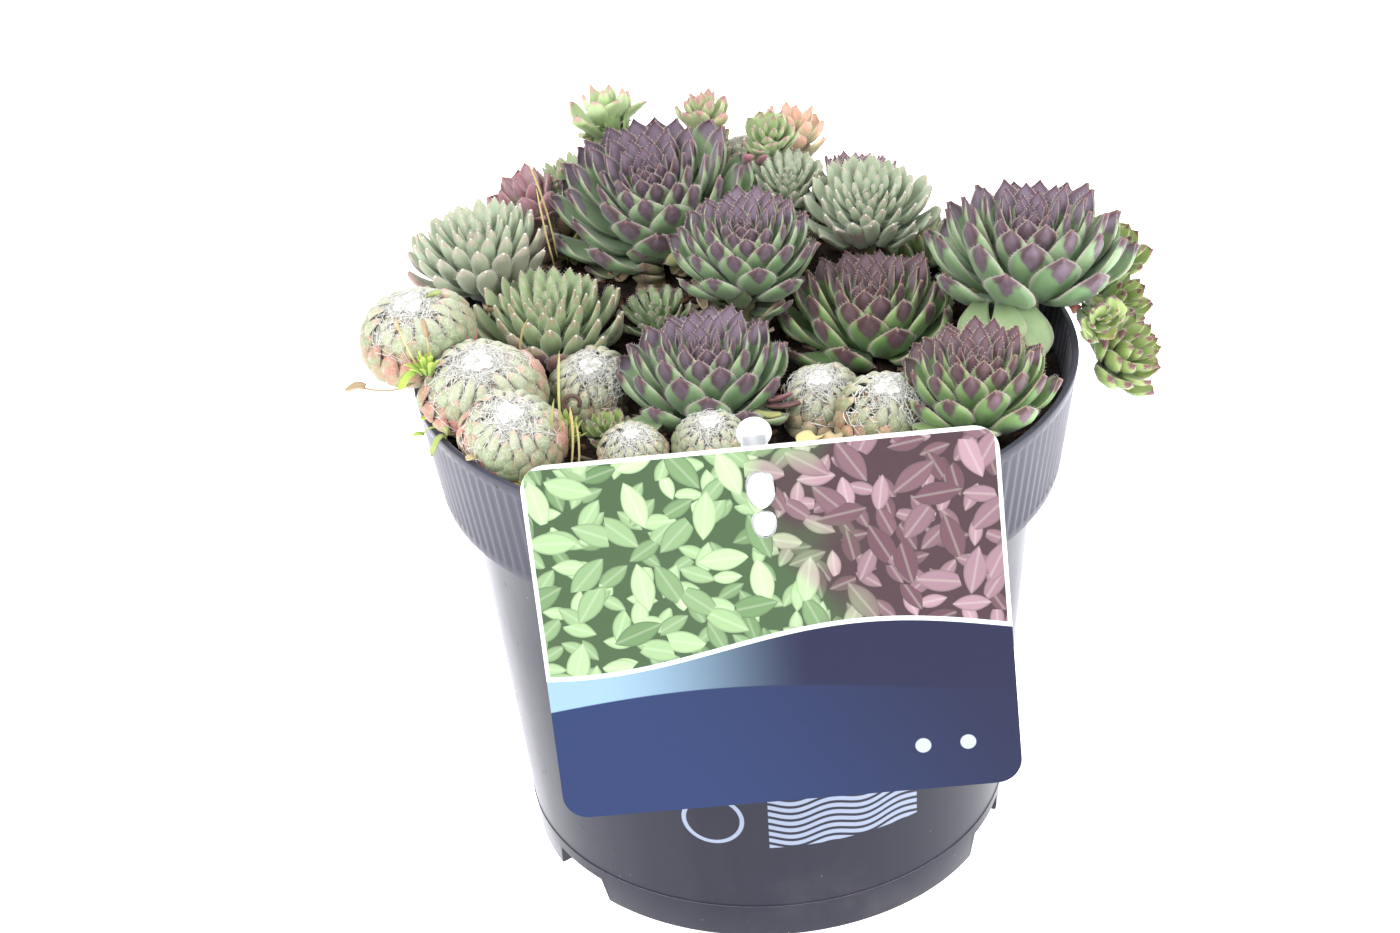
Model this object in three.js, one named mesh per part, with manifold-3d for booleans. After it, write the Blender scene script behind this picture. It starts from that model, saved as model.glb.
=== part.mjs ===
// Hens and chicks: houseleek rosettes of several kinds growing together in a 13 cm nursery pot,
// with a plant label that hangs on a plastic stake. Millimetres, +Z up. The origin is the middle of
// the pot's base, and the label faces -Y.

import * as THREE from 'three';
import { mergeVertices } from 'three/addons/utils/BufferGeometryUtils.js';
import Module from 'manifold-3d';

const wasm = await Module();
wasm.setup();

// ---------------------------------------------------------------- driving dimensions

const TOUCH_GAP = 0.3;            // room left between pieces that touch

const RIM_HEIGHT = 107;
const RIM_RADIUS = 65;
const COLLAR_HEIGHT = 23.4;       // the wider band under the rim
const COLLAR_FOOT_RADIUS = 61.7;
const NECK_RADIUS = 56.6;         // the body just under the collar
const BASE_RADIUS = 49.5;
const WALL = 1.5;
const POT_SIDES = 30;

const FOOT_RING_WIDTH = 4.6;
const CENTRE_PAD_RADIUS = 18;     // the middle of the base, level with the foot ring
const RECESS_HEIGHT = 3.5;        // the base is raised between the pad and the ring
const FLOOR_TOP = 5.6;
const DRAIN_HOLES = 5;
const DRAIN_HOLE_RADIUS = 3.5;
const DRAIN_CIRCLE_RADIUS = 32;

const NOTCH_CENTRES = [-54, 64, 185];   // degrees round the foot, from the label side
const NOTCH_HALF_ANGLE = 8;
const NOTCH_HEIGHT = 5.3;
const NOTCH_DEPTH = 4.6;
const NOTCH_FLARE = 1.25;         // a notch is this much wider at the bottom

const SOIL_BELOW_RIM = 9;
const MOUND_RISE = 15;            // the soil is heaped under the plants at the back
const MOUND_CENTRE = [-4, 44];
const MOUND_SPREAD = [34, 16];
const SOIL_SIDES = 20;

const LABEL_WIDTH = 82.5;
const LABEL_LENGTH = 67.6;
const LABEL_THICKNESS = 0.6;
const LABEL_CORNER = 4.5;
const LABEL_TOP = [-0.4, -66.5, RIM_HEIGHT + 15.8];   // middle of the label's top edge
const LABEL_TILT = 10.5;          // degrees that its foot stands out from the pot
const LABEL_ROLL = 3;
const LABEL_YAW = -2.7;
const UPPER_HOLE = { below: 8, width: 5.3, length: 6.9 };
const LOWER_HOLE = { below: 14.4, width: 4.4, length: 5.2 };

const STAKE_WIDTH = 4.6;
const STAKE_THICKNESS = 1.4;
const STAKE_TOP = [-0.6, -62.6, RIM_HEIGHT + 16.6];
const STAKE_FOOT = [-0.6, -50.5, 75];
const STAKE_HEAD = { width: 6.2, length: 7.4 };
const TONGUE_THICKNESS = 1;       // the strip behind the label that joins the knobs
const BRIDGE = { width: 3.8, length: 8.6, height: 3.4, middle: -63.4, aboveRim: 3.4 };
const UPPER_KNOB_PROUD = 1.5;     // how far the knobs stand out of the label's face
const LOWER_KNOB_PROUD = 0.1;

const STEM_SIDES = 5;
const HEN_STEM = 0.11;            // a stem's radius, in rosette radii
const CHICK_STEM = 0.18;
const MIN_STEM_RADIUS = 0.9;
const STEM_DEPTH = 9;             // how far a stem goes into the soil
const STEM_REACH = 57;            // no stem enters the soil further out than this
const HOLE_SLACK = 0.35;
const SOIL_CLEARANCE = 1;         // leaves stay this far above the soil

const GOLDEN_ANGLE = 2.39996;     // radians between one leaf and the next
const CORE_SIDES = 7;
const LEAF_GAP = 0.36;            // room between neighbouring rosettes
const LEAF_SHOULDER = 0.7;        // where a leaf is widest, from its root to its tip
const WORLD_UP = new THREE.Vector3(0, 0, 1);

// ---------------------------------------------------------------- materials

const PAINTS = {
  pot: { color: 0x33363d, roughness: 0.38, metalness: 0 },
  soil: { color: 0x2b211a, roughness: 0.95, metalness: 0 },
  label: { color: 0x3c4a80, roughness: 0.3, metalness: 0 },
  stake: { color: 0xf2f3f5, roughness: 0.4, metalness: 0 },
  stone: { color: 0xb7a49a, roughness: 0.85, metalness: 0 },
  purple: { color: 0x5d5a58, roughness: 0.5, metalness: 0 },
  green: { color: 0x6f9460, roughness: 0.5, metalness: 0 },
  cobweb: { color: 0xb9bf9f, roughness: 0.8, metalness: 0 },
  pale: { color: 0x9dbb72, roughness: 0.5, metalness: 0 },
  plum: { color: 0x8a5560, roughness: 0.5, metalness: 0 },
  orange: { color: 0xc08058, roughness: 0.5, metalness: 0 },
};

function paint(name) {
  return new THREE.MeshStandardMaterial(PAINTS[name]);
}

// ---------------------------------------------------------------- forms of rosette
// spine(t) gives the root, the bend and the tip of a leaf as [out, up], in rosette radii. t runs from
// 0 at the youngest leaf in the middle to 1 at the oldest one outside. Widths and depths are in radii.
// spread is the share of the radius that a rosette claims where it meets a neighbour, and core is the
// outline of the short stem in the middle, from its top to its foot.

function cupSpine(t) {
  const tip = [0.03 + 0.99 * t ** 0.66, 0.58 * (1 - t ** 3) - 0.2 * (1 - t) ** 2.5];
  const root = [0.04 + 0.14 * t, 0.1 - 0.62 * t];
  return [root, towards(root, tip, 0.66, 0.28), tip];
}

function tuftSpine(t) {
  const tip = [0.03 + 0.99 * t ** 0.64, 0.55 * (1 - t ** 2.6) - 0.22 * (1 - t) ** 2.5];
  const root = [0.04 + 0.12 * t, 0.1 - 0.6 * t];
  return [root, towards(root, tip, 0.75, 0.2), tip];
}

function starSpine(t) {
  const tip = [0.15 + 0.87 * t ** 0.8, 0.72 - 0.62 * t ** 1.6];
  const root = [0.04 + 0.1 * t, 0.1 - 0.6 * t];
  return [root, towards(root, tip, 0.85, 0.2), tip];
}

function ballSpine(t) {
  const angle = THREE.MathUtils.degToRad(12 + 70 * t ** 0.75);
  const onBall = (turn, out) => [out * Math.sin(angle + turn), out * BALL_HEIGHT * Math.cos(angle + turn)];
  return [onBall(1.2, 0.5), onBall(0.7, 1.36), onBall(0, 0.98)];
}

function towards(from, to, outShare, upShare) {
  return [from[0] + (to[0] - from[0]) * outShare, from[1] + (to[1] - from[1]) * upShare];
}

const BALL_HEIGHT = 0.88;         // a cobweb rosette is a little flatter than a ball

const HEN_CORE = [[0, 0.34], [0.42, -0.14], [0, -0.62]];
const CHICK_CORE = [[0, 0.34], [0.34, -0.12], [0, -0.58]];
const BALL_CORE = [[0, 0.74], [0.76, 0.2], [0.6, -0.74], [0, -0.74]];

const FORMS = {
  cup: { spine: cupSpine, width: 0.52, depth: 0.1, spread: 0.92, core: HEN_CORE },
  tuft: { spine: tuftSpine, width: 0.42, depth: 0.1, spread: 0.9, core: HEN_CORE },
  star: { spine: starSpine, width: 0.78, depth: 0.16, spread: 0.8, core: CHICK_CORE },
  ball: { spine: ballSpine, width: 0.6, depth: 0.12, spread: 1, core: BALL_CORE },
};

// ---------------------------------------------------------------- the plants
// at is the middle of the rosette, with its height measured from the rim. lean is how far its axis leans
// towards +X and +Y. root is where its stem enters the soil, if that isn't right below it, and lift is
// how far its leaves are held above the rim.

function plant(name, form, paintName, at, radius, leaves, lean, more = {}) {
  return { name, form, paint: paintName, at, radius, leaves, lean, ...more };
}

const PLANTS = [
  plant('purple_back_left', 'cup', 'purple', [-16, 38, 15.5], 23.5, 27, [-0.12, -0.28]),
  plant('purple_middle', 'cup', 'purple', [1, 13, 15], 17, 25, [0, -0.15]),
  plant('purple_right', 'cup', 'purple', [25.6, 11.5, -1], 20.5, 27, [0, -0.04]),
  plant('purple_far_right', 'cup', 'purple', [57, 9, 12], 22.5, 27, [0.04, -0.02], { lift: 3 }),
  plant('purple_front', 'cup', 'purple', [-8.4, -14.4, 2], 19.2, 26, [0, -0.05]),
  plant('purple_front_right', 'cup', 'purple', [42.3, -28, 4], 17, 25, [0.03, -0.05]),
  plant('green_left', 'tuft', 'green', [-52.3, 29, 11], 16, 26, [-0.1, 0]),
  plant('green_front_left', 'tuft', 'green', [-38.4, 11, 3], 16.6, 27, [0, -0.05]),
  plant('green_back_right', 'tuft', 'green', [27.3, 31, 14], 14.2, 24, [0, -0.33]),
  plant('green_small_middle', 'tuft', 'green', [-17, 15, 1], 8.5, 14, [-0.1, -0.2]),
  plant('cobweb_left', 'ball', 'cobweb', [-62.5, -5.5, 9.5], 10, 14, [-0.1, -0.25]),
  plant('cobweb_front_left', 'ball', 'cobweb', [-50.5, -17, 2], 10.8, 14, [0, -0.3]),
  plant('cobweb_front', 'ball', 'cobweb', [-44.8, -31.5, 0.5], 8.9, 13, [0.05, -0.4]),
  plant('cobweb_inner_left', 'ball', 'cobweb', [-30, -8, -3], 8, 12, [0, -0.35]),
  plant('cobweb_by_stake', 'ball', 'cobweb', [-8, -33, -1], 7, 11, [0, -0.3]),
  plant('cobweb_small', 'ball', 'cobweb', [-22.3, -35, -1], 6, 11, [0, -0.3]),
  plant('cobweb_right', 'ball', 'cobweb', [13.4, -18.5, -3.5], 7.7, 12, [0, -0.3]),
  plant('cobweb_front_right', 'ball', 'cobweb', [25.3, -28, -2], 8.6, 12, [0, -0.25]),
  plant('chick_green_front', 'star', 'green', [-27, -27, -1], 5.2, 8, [0, -0.3]),
  plant('chick_pale_top', 'star', 'pale', [-25, 55, 28], 8.6, 9, [-0.1, -0.1], { root: [-25.5, 51] }),
  plant('chick_rosy_top', 'star', 'pale', [-4.5, 58, 25.5], 7, 9, [0, 0], { root: [-4.5, 54] }),
  plant('chick_light_top', 'star', 'pale', [9, 50, 22.5], 7, 10, [0, -0.5], { root: [7, 46] }),
  plant('chick_orange_top', 'star', 'orange', [13.6, 58, 20.2], 8.5, 9, [0.15, 0], { root: [12, 51] }),
  plant('chick_mossy', 'tuft', 'green', [12, 42, 15.5], 10, 14, [0, -0.3]),
  plant('chick_plum', 'star', 'plum', [-42, 45, 13.5], 10.5, 9, [-0.2, -0.1], { root: [-40, 38] }),
  plant('rear_green', 'tuft', 'green', [40, 40.5, 0], 12, 17, [0.1, 0.1]),
  plant('rear_purple', 'cup', 'purple', [27, 53.5, 9], 12.5, 18, [0.1, 0.35]),
  plant('rear_cobweb', 'ball', 'cobweb', [4, 60, 10.5], 8.2, 12, [0, 0.5]),
  plant('rear_cobweb_left', 'ball', 'cobweb', [-14, 61, 10.5], 8, 12, [0, 0.5]),
  plant('rear_green_left', 'tuft', 'green', [-33, 51, 15], 11, 16, [-0.2, 0.1]),
  plant('rear_cobweb_right', 'ball', 'cobweb', [49, 27.5, -1], 6.4, 10, [0.2, 0.1]),
];

// The chicks that hang over the rim on one branch.
const BRANCH_NAME = 'chicks_over_rim';
const BRANCH_CHICKS = [
  { form: 'star', at: [67.6, -5.5, 5], radius: 6.4, leaves: 9, lean: [0.5, -1.6] },
  { form: 'star', at: [75, 0, -9], radius: 10, leaves: 9, lean: [1.4, -0.9] },
  { form: 'star', at: [75.8, 13, -1.5], radius: 8, leaves: 7, lean: [1.6, -0.2] },
  { form: 'star', at: [75.8, 22, 4.5], radius: 9, leaves: 7, lean: [0.9, 0.1] },
];
const BRANCH_FORK = [69, 9, 1.4];     // just outside the rim, with its height measured from the rim
const BRANCH_BEND = [56.5, 18.5, 1.6];    // where the branch turns outwards over the rim
const STOLON_RADIUS = 0.9;
const OVER_RIM = 4.6;             // a chick this far above the rim sits on it, and a lower one hangs outside

const PEBBLES = [
  { name: 'pebble_by_stake', at: [2.5, -36], size: [3.6, 3, 2.6] },
  { name: 'pebble_right', at: [44, -42], size: [3.2, 2.6, 1.8] },
  { name: 'pebble_left', at: [-33, -42], size: [2.6, 2.2, 1.6] },
];

// ---------------------------------------------------------------- solids

function toSolid(geometry) {
  geometry.deleteAttribute('normal');
  geometry.deleteAttribute('uv');
  const merged = mergeVertices(geometry, 1e-4);
  const corners = merged.index.array;
  const kept = [];
  for (let i = 0; i < corners.length; i += 3) {
    const [a, b, c] = corners.slice(i, i + 3);
    if (a !== b && b !== c && c !== a) kept.push(a, b, c);
  }
  return new wasm.Manifold(new wasm.Mesh({
    numProp: 3,
    vertProperties: Float32Array.from(merged.attributes.position.array),
    triVerts: Uint32Array.from(kept),
  }));
}

function join(solids) {
  return solids.reduce((whole, solid) => whole.add(solid));
}

// The largest body of a solid: hollows that joining has sealed and loose scraps are left out.
function mainBody(solid) {
  return solid.decompose().reduce((best, body) => (body.volume() > best.volume() ? body : best));
}

// A named mesh of a solid, placed at the point that its geometry is measured from.
function toMesh(name, paintName, solid, place) {
  const { vertProperties, triVerts } = solid.getMesh();
  const geometry = new THREE.BufferGeometry();
  geometry.setAttribute('position', new THREE.BufferAttribute(Float32Array.from(vertProperties), 3));
  geometry.setIndex(new THREE.BufferAttribute(Uint32Array.from(triVerts), 1));
  geometry.translate(-place.x, -place.y, -place.z);
  geometry.computeVertexNormals();
  const mesh = new THREE.Mesh(geometry, paint(paintName));
  mesh.name = name;
  mesh.position.copy(place);
  return mesh;
}

// A profile of [radius, height] points turned round the Z axis.
function turned(profile, sides) {
  const points = profile.map(([radius, height]) => new THREE.Vector2(radius, height));
  return new THREE.LatheGeometry(points, sides).rotateX(Math.PI / 2);
}

// A straight bar with round section between two points.
function bar(from, to, radius, sides) {
  const along = to.clone().sub(from);
  const geometry = new THREE.CylinderGeometry(radius, radius, along.length(), sides);
  const axis = new THREE.Vector3(0, 1, 0);
  const turn = new THREE.Quaternion().setFromUnitVectors(axis, along.clone().normalize());
  const middle = from.clone().add(to).multiplyScalar(0.5);
  return geometry.applyQuaternion(turn).translate(middle.x, middle.y, middle.z);
}

// ---------------------------------------------------------------- pot

function innerRadiusAt(height) {
  const collarFoot = RIM_HEIGHT - COLLAR_HEIGHT;
  if (height < collarFoot + WALL) {
    return THREE.MathUtils.lerp(BASE_RADIUS, NECK_RADIUS, height / collarFoot) - WALL;
  }
  const share = (height - collarFoot) / COLLAR_HEIGHT;
  return THREE.MathUtils.lerp(COLLAR_FOOT_RADIUS, RIM_RADIUS, share) - WALL;
}

function potProfile() {
  const collarFoot = RIM_HEIGHT - COLLAR_HEIGHT;
  return [
    [0, 0],
    [CENTRE_PAD_RADIUS, 0],
    [CENTRE_PAD_RADIUS + 1, RECESS_HEIGHT],
    [BASE_RADIUS - FOOT_RING_WIDTH - 1, RECESS_HEIGHT],
    [BASE_RADIUS - FOOT_RING_WIDTH, 0],
    [BASE_RADIUS, 0],
    [NECK_RADIUS, collarFoot],
    [COLLAR_FOOT_RADIUS, collarFoot],
    [RIM_RADIUS, RIM_HEIGHT],
    [RIM_RADIUS - WALL, RIM_HEIGHT],
    [innerRadiusAt(collarFoot + WALL), collarFoot + WALL],
    [NECK_RADIUS - WALL, collarFoot + WALL],
    [innerRadiusAt(FLOOR_TOP), FLOOR_TOP],
    [0, FLOOR_TOP],
  ];
}

// A wedge through the foot ring, wider at the bottom than at the top.
function notchCutter(degrees) {
  const halfTop = BASE_RADIUS * Math.tan(THREE.MathUtils.degToRad(NOTCH_HALF_ANGLE));
  const outline = new THREE.Shape([
    new THREE.Vector2(-halfTop * NOTCH_FLARE, -1),
    new THREE.Vector2(halfTop * NOTCH_FLARE, -1),
    new THREE.Vector2(halfTop, NOTCH_HEIGHT),
    new THREE.Vector2(-halfTop, NOTCH_HEIGHT),
  ]);
  const reach = NOTCH_DEPTH + FOOT_RING_WIDTH;
  const geometry = new THREE.ExtrudeGeometry(outline, { depth: reach, bevelEnabled: false, steps: 1 });
  geometry.rotateX(Math.PI / 2).translate(0, NOTCH_DEPTH - BASE_RADIUS, 0);
  return toSolid(geometry.rotateZ(THREE.MathUtils.degToRad(degrees)));
}

function drainCutter(number) {
  const angle = (number + 0.5) * 2 * Math.PI / DRAIN_HOLES;
  const x = DRAIN_CIRCLE_RADIUS * Math.cos(angle);
  const y = DRAIN_CIRCLE_RADIUS * Math.sin(angle);
  const low = new THREE.Vector3(x, y, -1);
  const high = new THREE.Vector3(x, y, FLOOR_TOP + 1);
  return toSolid(bar(low, high, DRAIN_HOLE_RADIUS, 8));
}

function makePot() {
  const cutters = NOTCH_CENTRES.map(notchCutter);
  for (let number = 0; number < DRAIN_HOLES; number += 1) cutters.push(drainCutter(number));
  const solid = toSolid(turned(potProfile(), POT_SIDES)).subtract(join(cutters));
  return toMesh('pot', 'pot', mainBody(solid), new THREE.Vector3());
}

// ---------------------------------------------------------------- soil

function soilHeight(x, y) {
  const across = (x - MOUND_CENTRE[0]) / MOUND_SPREAD[0];
  const along = (y - MOUND_CENTRE[1]) / MOUND_SPREAD[1];
  const mound = MOUND_RISE * Math.exp(-(across ** 2 + along ** 2) / 2);
  return RIM_HEIGHT - SOIL_BELOW_RIM + mound;
}

function makeSoil(stemHoles) {
  const collarFoot = RIM_HEIGHT - COLLAR_HEIGHT;
  const flat = RIM_HEIGHT - SOIL_BELOW_RIM;
  const floor = FLOOR_TOP + TOUCH_GAP;
  const ledge = collarFoot + WALL + TOUCH_GAP;
  const slack = TOUCH_GAP + 0.2;
  const edge = innerRadiusAt(flat) - 1;
  const geometry = turned([
    [0, floor],
    [innerRadiusAt(floor) - slack, floor],
    [NECK_RADIUS - WALL - slack, ledge],
    [innerRadiusAt(ledge) - slack, ledge],
    [edge, flat],
    [edge * 0.78, flat],
    [edge * 0.52, flat],
    [edge * 0.26, flat],
    [0, flat],
  ], SOIL_SIDES);
  const points = geometry.attributes.position;
  for (let i = 0; i < points.count; i += 1) {
    if (points.getZ(i) > flat - 0.01) points.setZ(i, soilHeight(points.getX(i), points.getY(i)));
  }
  const solid = toSolid(geometry).subtract(join(stemHoles));
  return toMesh('soil', 'soil', mainBody(solid), new THREE.Vector3(0, 0, floor));
}

// ---------------------------------------------------------------- room for each rosette

function placed(plant) {
  const [x, y, aboveRim] = plant.at;
  const centre = new THREE.Vector3(x, y, RIM_HEIGHT + aboveRim);
  const axis = new THREE.Vector3(plant.lean[0], plant.lean[1], 1).normalize();
  const turn = new THREE.Quaternion().setFromUnitVectors(WORLD_UP, axis);
  return { ...plant, centre, axis, turn };
}

// The plane that parts two neighbours, nearer to the smaller one, seen from the first.
function partingPlane(plant, other) {
  const toward = other.centre.clone().sub(plant.centre);
  const distance = toward.length();
  toward.normalize();
  const claim = FORMS[plant.form].spread * plant.radius;
  const otherClaim = FORMS[other.form].spread * other.radius;
  const share = (distance ** 2 + claim ** 2 - otherClaim ** 2) / (2 * distance);
  return new THREE.Plane(toward.clone().negate(), toward.dot(plant.centre) + share - LEAF_GAP / 2);
}

// Planes that keep a rosette inside or above the rim. slant is 0 for an upright plane and 90 for a level
// one.
function rimPlanes({ centre, lift: extra = 0 }) {
  const out = Math.hypot(centre.x, centre.y);
  const bearing = Math.atan2(centre.y, centre.x);
  let slant = 12;
  if (centre.z > RIM_HEIGHT + 1.5) slant = 50;
  if (centre.z > RIM_HEIGHT + 7 && out > STEM_REACH) slant = 90;
  const lift = Math.sin(THREE.MathUtils.degToRad(slant));
  const inward = Math.cos(THREE.MathUtils.degToRad(slant));
  const planes = [];
  for (const offset of [-36, -24, -12, 0, 12, 24, 36]) {
    const angle = bearing + THREE.MathUtils.degToRad(offset);
    const normal = new THREE.Vector3(-inward * Math.cos(angle), -inward * Math.sin(angle), lift);
    const limit = inward * (RIM_RADIUS - WALL) - lift * RIM_HEIGHT;
    planes.push(new THREE.Plane(normal, limit - 2 * TOUCH_GAP - extra));
  }
  return planes;
}

// The plane that keeps a chick outside the pot's wall, or above the rim if it sits on it.
function outerPlane(centre) {
  if (centre.z > RIM_HEIGHT + OVER_RIM) return new THREE.Plane(WORLD_UP, -(RIM_HEIGHT + 2 * TOUCH_GAP));
  const normal = new THREE.Vector3(centre.x, centre.y, 0).normalize();
  return new THREE.Plane(normal, -(RIM_RADIUS + 2 * TOUCH_GAP));
}

function neighbourPlanes(plant, others) {
  return others
    .filter((other) => other !== plant)
    .filter((other) => other.centre.distanceTo(plant.centre) < 1.35 * (other.radius + plant.radius))
    .map((other) => partingPlane(plant, other));
}

// Moves a ring of points, all together, until it is clear of the soil and on the near side of the planes.
function bendClear(ring, planes) {
  for (let pass = 0; pass < 4; pass += 1) {
    for (const plane of planes) {
      const depth = -Math.min(...ring.map((point) => plane.distanceToPoint(point)));
      if (depth > 0) ring.forEach((point) => point.addScaledVector(plane.normal, depth));
    }
    const sunk = Math.max(...ring.map((point) => soilHeight(point.x, point.y) + SOIL_CLEARANCE - point.z));
    const inside = ring.every((point) => Math.hypot(point.x, point.y) < RIM_RADIUS);
    if (sunk > 0 && inside) ring.forEach((point) => point.addScaledVector(WORLD_UP, sunk));
  }
}

// ---------------------------------------------------------------- leaves

// A repeatable number from -0.5 to 0.5 that differs from leaf to leaf.
function scatter(leaf, kind) {
  const value = leaf * 0.754878 + kind * 0.569840;
  return value - Math.floor(value) - 0.5;
}

// The leaf's section at a place along it: three corners, with the keel on the lower side.
function leafSection(place, along, side, halfWidth, depth) {
  const upper = along.clone().cross(side).normalize();
  const left = place.clone().addScaledVector(side, -halfWidth).addScaledVector(upper, depth * 0.35);
  const right = place.clone().addScaledVector(side, halfWidth).addScaledVector(upper, depth * 0.35);
  const keel = place.clone().addScaledVector(upper, -depth * 0.65);
  return [left, keel, right];
}

// A cone with three sides and one ring halfway takes the shape of a leaf.
function leafSolid(root, shoulder, tip) {
  const cone = new THREE.ConeGeometry(1, 2, 3, 2);
  const points = cone.attributes.position;
  const rootMiddle = root[0].clone().add(root[1]).add(root[2]).divideScalar(3);
  for (let i = 0; i < points.count; i += 1) {
    const level = Math.round(points.getY(i));
    const onAxis = Math.hypot(points.getX(i), points.getZ(i)) < 1e-6;
    const turn = Math.atan2(points.getX(i), points.getZ(i)) / (2 * Math.PI);
    const corner = (Math.round(turn * 3) + 3) % 3;
    let target = tip;
    if (level === 0) target = shoulder[corner];
    if (level === -1) target = onAxis ? rootMiddle : root[corner];
    points.setXYZ(i, target.x, target.y, target.z);
  }
  return toSolid(cone);
}

function makeLeaf(plant, number, planes) {
  const form = FORMS[plant.form];
  const age = (number + 0.5) / plant.leaves;
  const bearing = number * GOLDEN_ANGLE + 0.2 * scatter(number, 1) + plant.centre.x;
  const reach = plant.radius * (1 + 0.08 * scatter(number, 2));
  const out = new THREE.Vector3(Math.cos(bearing), Math.sin(bearing), 0);
  const toWorld = ([outward, up]) => out.clone()
    .multiplyScalar(outward * reach)
    .addScaledVector(WORLD_UP, up * reach)
    .applyQuaternion(plant.turn)
    .add(plant.centre);
  const [rootPoint, bend, tipPoint] = form.spine(age);
  rootPoint[1] = Math.max(rootPoint[1], lowestReach(plant) + 0.02);
  const spine = new THREE.QuadraticBezierCurve3(...[rootPoint, bend, tipPoint].map(toWorld));
  const side = out.clone().cross(WORLD_UP).negate().applyQuaternion(plant.turn);
  const size = plant.radius * (0.42 + 0.58 * age ** 0.7);
  const halfWidth = size * form.width / 2;
  const depth = Math.max(size * form.depth, 0.7);
  const root = leafSection(spine.getPoint(0), spine.getTangent(0), side, halfWidth * 0.14, depth * 0.35);
  const shoulderPoint = spine.getPoint(LEAF_SHOULDER);
  const shoulder = leafSection(shoulderPoint, spine.getTangent(LEAF_SHOULDER), side, halfWidth, depth);
  const tip = spine.getPoint(1);
  bendClear(shoulder, planes);
  bendClear([tip], planes);
  return leafSolid(root, shoulder, tip);
}

// How low a rosette may reach, in its radii, measured from its middle.
function lowestReach({ centre, radius, lift = 0 }) {
  const out = Math.hypot(centre.x, centre.y);
  if (out > RIM_RADIUS && centre.z < RIM_HEIGHT + OVER_RIM) return -1;
  const overRim = out > STEM_REACH && centre.z > RIM_HEIGHT;
  const rim = overRim ? RIM_HEIGHT + lift : 0;
  return (Math.max(soilHeight(centre.x, centre.y), rim) + SOIL_CLEARANCE - centre.z) / radius;
}

// The short thick stem that a rosette's leaves stand out of.
function makeCore(plant, planes) {
  const lowest = lowestReach(plant);
  const profile = FORMS[plant.form].core.map(([out, up]) => [out, Math.max(up, lowest)]).reverse();
  const scaled = profile.map((point) => point.map((value) => value * plant.radius));
  const geometry = turned(scaled, CORE_SIDES).applyQuaternion(plant.turn);
  geometry.translate(plant.centre.x, plant.centre.y, plant.centre.z);
  const points = geometry.attributes.position;
  for (let i = 0; i < points.count; i += 1) {
    const point = new THREE.Vector3().fromBufferAttribute(points, i);
    bendClear([point], planes);
    points.setXYZ(i, point.x, point.y, point.z);
  }
  return toSolid(geometry);
}

function makeRosette(plant, planes) {
  const solids = [makeCore(plant, planes)];
  for (let number = 0; number < plant.leaves; number += 1) solids.push(makeLeaf(plant, number, planes));
  return join(solids);
}

// ---------------------------------------------------------------- stems

function stemRadius(plant) {
  const share = plant.form === 'star' ? CHICK_STEM : HEN_STEM;
  return Math.max(MIN_STEM_RADIUS, share * plant.radius);
}

// From inside the core to a point below the soil.
function stemEnds(plant) {
  const [x, y] = plant.root ?? [plant.centre.x, plant.centre.y];
  const pull = Math.min(1, STEM_REACH / Math.hypot(x, y));
  const foot = new THREE.Vector3(x * pull, y * pull, 0);
  foot.z = soilHeight(foot.x, foot.y) - STEM_DEPTH;
  const start = plant.centre.clone().addScaledVector(plant.axis, -0.15 * plant.radius);
  return [start, foot];
}

function makeStem(plant) {
  return toSolid(bar(...stemEnds(plant), stemRadius(plant), STEM_SIDES));
}

function stemHole(plant) {
  const [start, foot] = stemEnds(plant);
  const downward = foot.clone().sub(start).normalize();
  const bottom = foot.clone().addScaledVector(downward, HOLE_SLACK);
  return toSolid(bar(start, bottom, stemRadius(plant) + HOLE_SLACK, STEM_SIDES));
}

// ---------------------------------------------------------------- branch of chicks over the rim

function branchPoint([x, y, aboveRim]) {
  return new THREE.Vector3(x, y, RIM_HEIGHT + aboveRim);
}

function branchFoot() {
  const bend = branchPoint(BRANCH_BEND);
  return bend.clone().setZ(soilHeight(bend.x, bend.y) - STEM_DEPTH);
}

function branchStem() {
  const fork = branchPoint(BRANCH_FORK);
  const bend = branchPoint(BRANCH_BEND);
  const overlap = fork.clone().sub(bend).setLength(STOLON_RADIUS / 2);
  const upright = bar(branchFoot(), bend.clone().setZ(bend.z + STOLON_RADIUS), STOLON_RADIUS, STEM_SIDES);
  const outward = bar(bend.clone().sub(overlap), fork.clone().add(overlap), STOLON_RADIUS, STEM_SIDES);
  return [toSolid(upright), toSolid(outward)];
}

function makeBranch(chicks, neighbours) {
  const solids = branchStem();
  const fork = branchPoint(BRANCH_FORK);
  for (const chick of chicks) {
    const planes = [...neighbourPlanes(chick, neighbours), outerPlane(chick.centre)];
    solids.push(makeRosette(chick, planes));
    solids.push(toSolid(bar(fork, chick.centre, STOLON_RADIUS, STEM_SIDES)));
  }
  return toMesh(BRANCH_NAME, 'pale', mainBody(join(solids)), fork);
}

function branchHole() {
  const foot = branchFoot();
  const top = foot.clone().setZ(RIM_HEIGHT);
  const bottom = foot.clone().setZ(foot.z - HOLE_SLACK);
  return toSolid(bar(bottom, top, STOLON_RADIUS + HOLE_SLACK, STEM_SIDES));
}

// ---------------------------------------------------------------- label and stake

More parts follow.
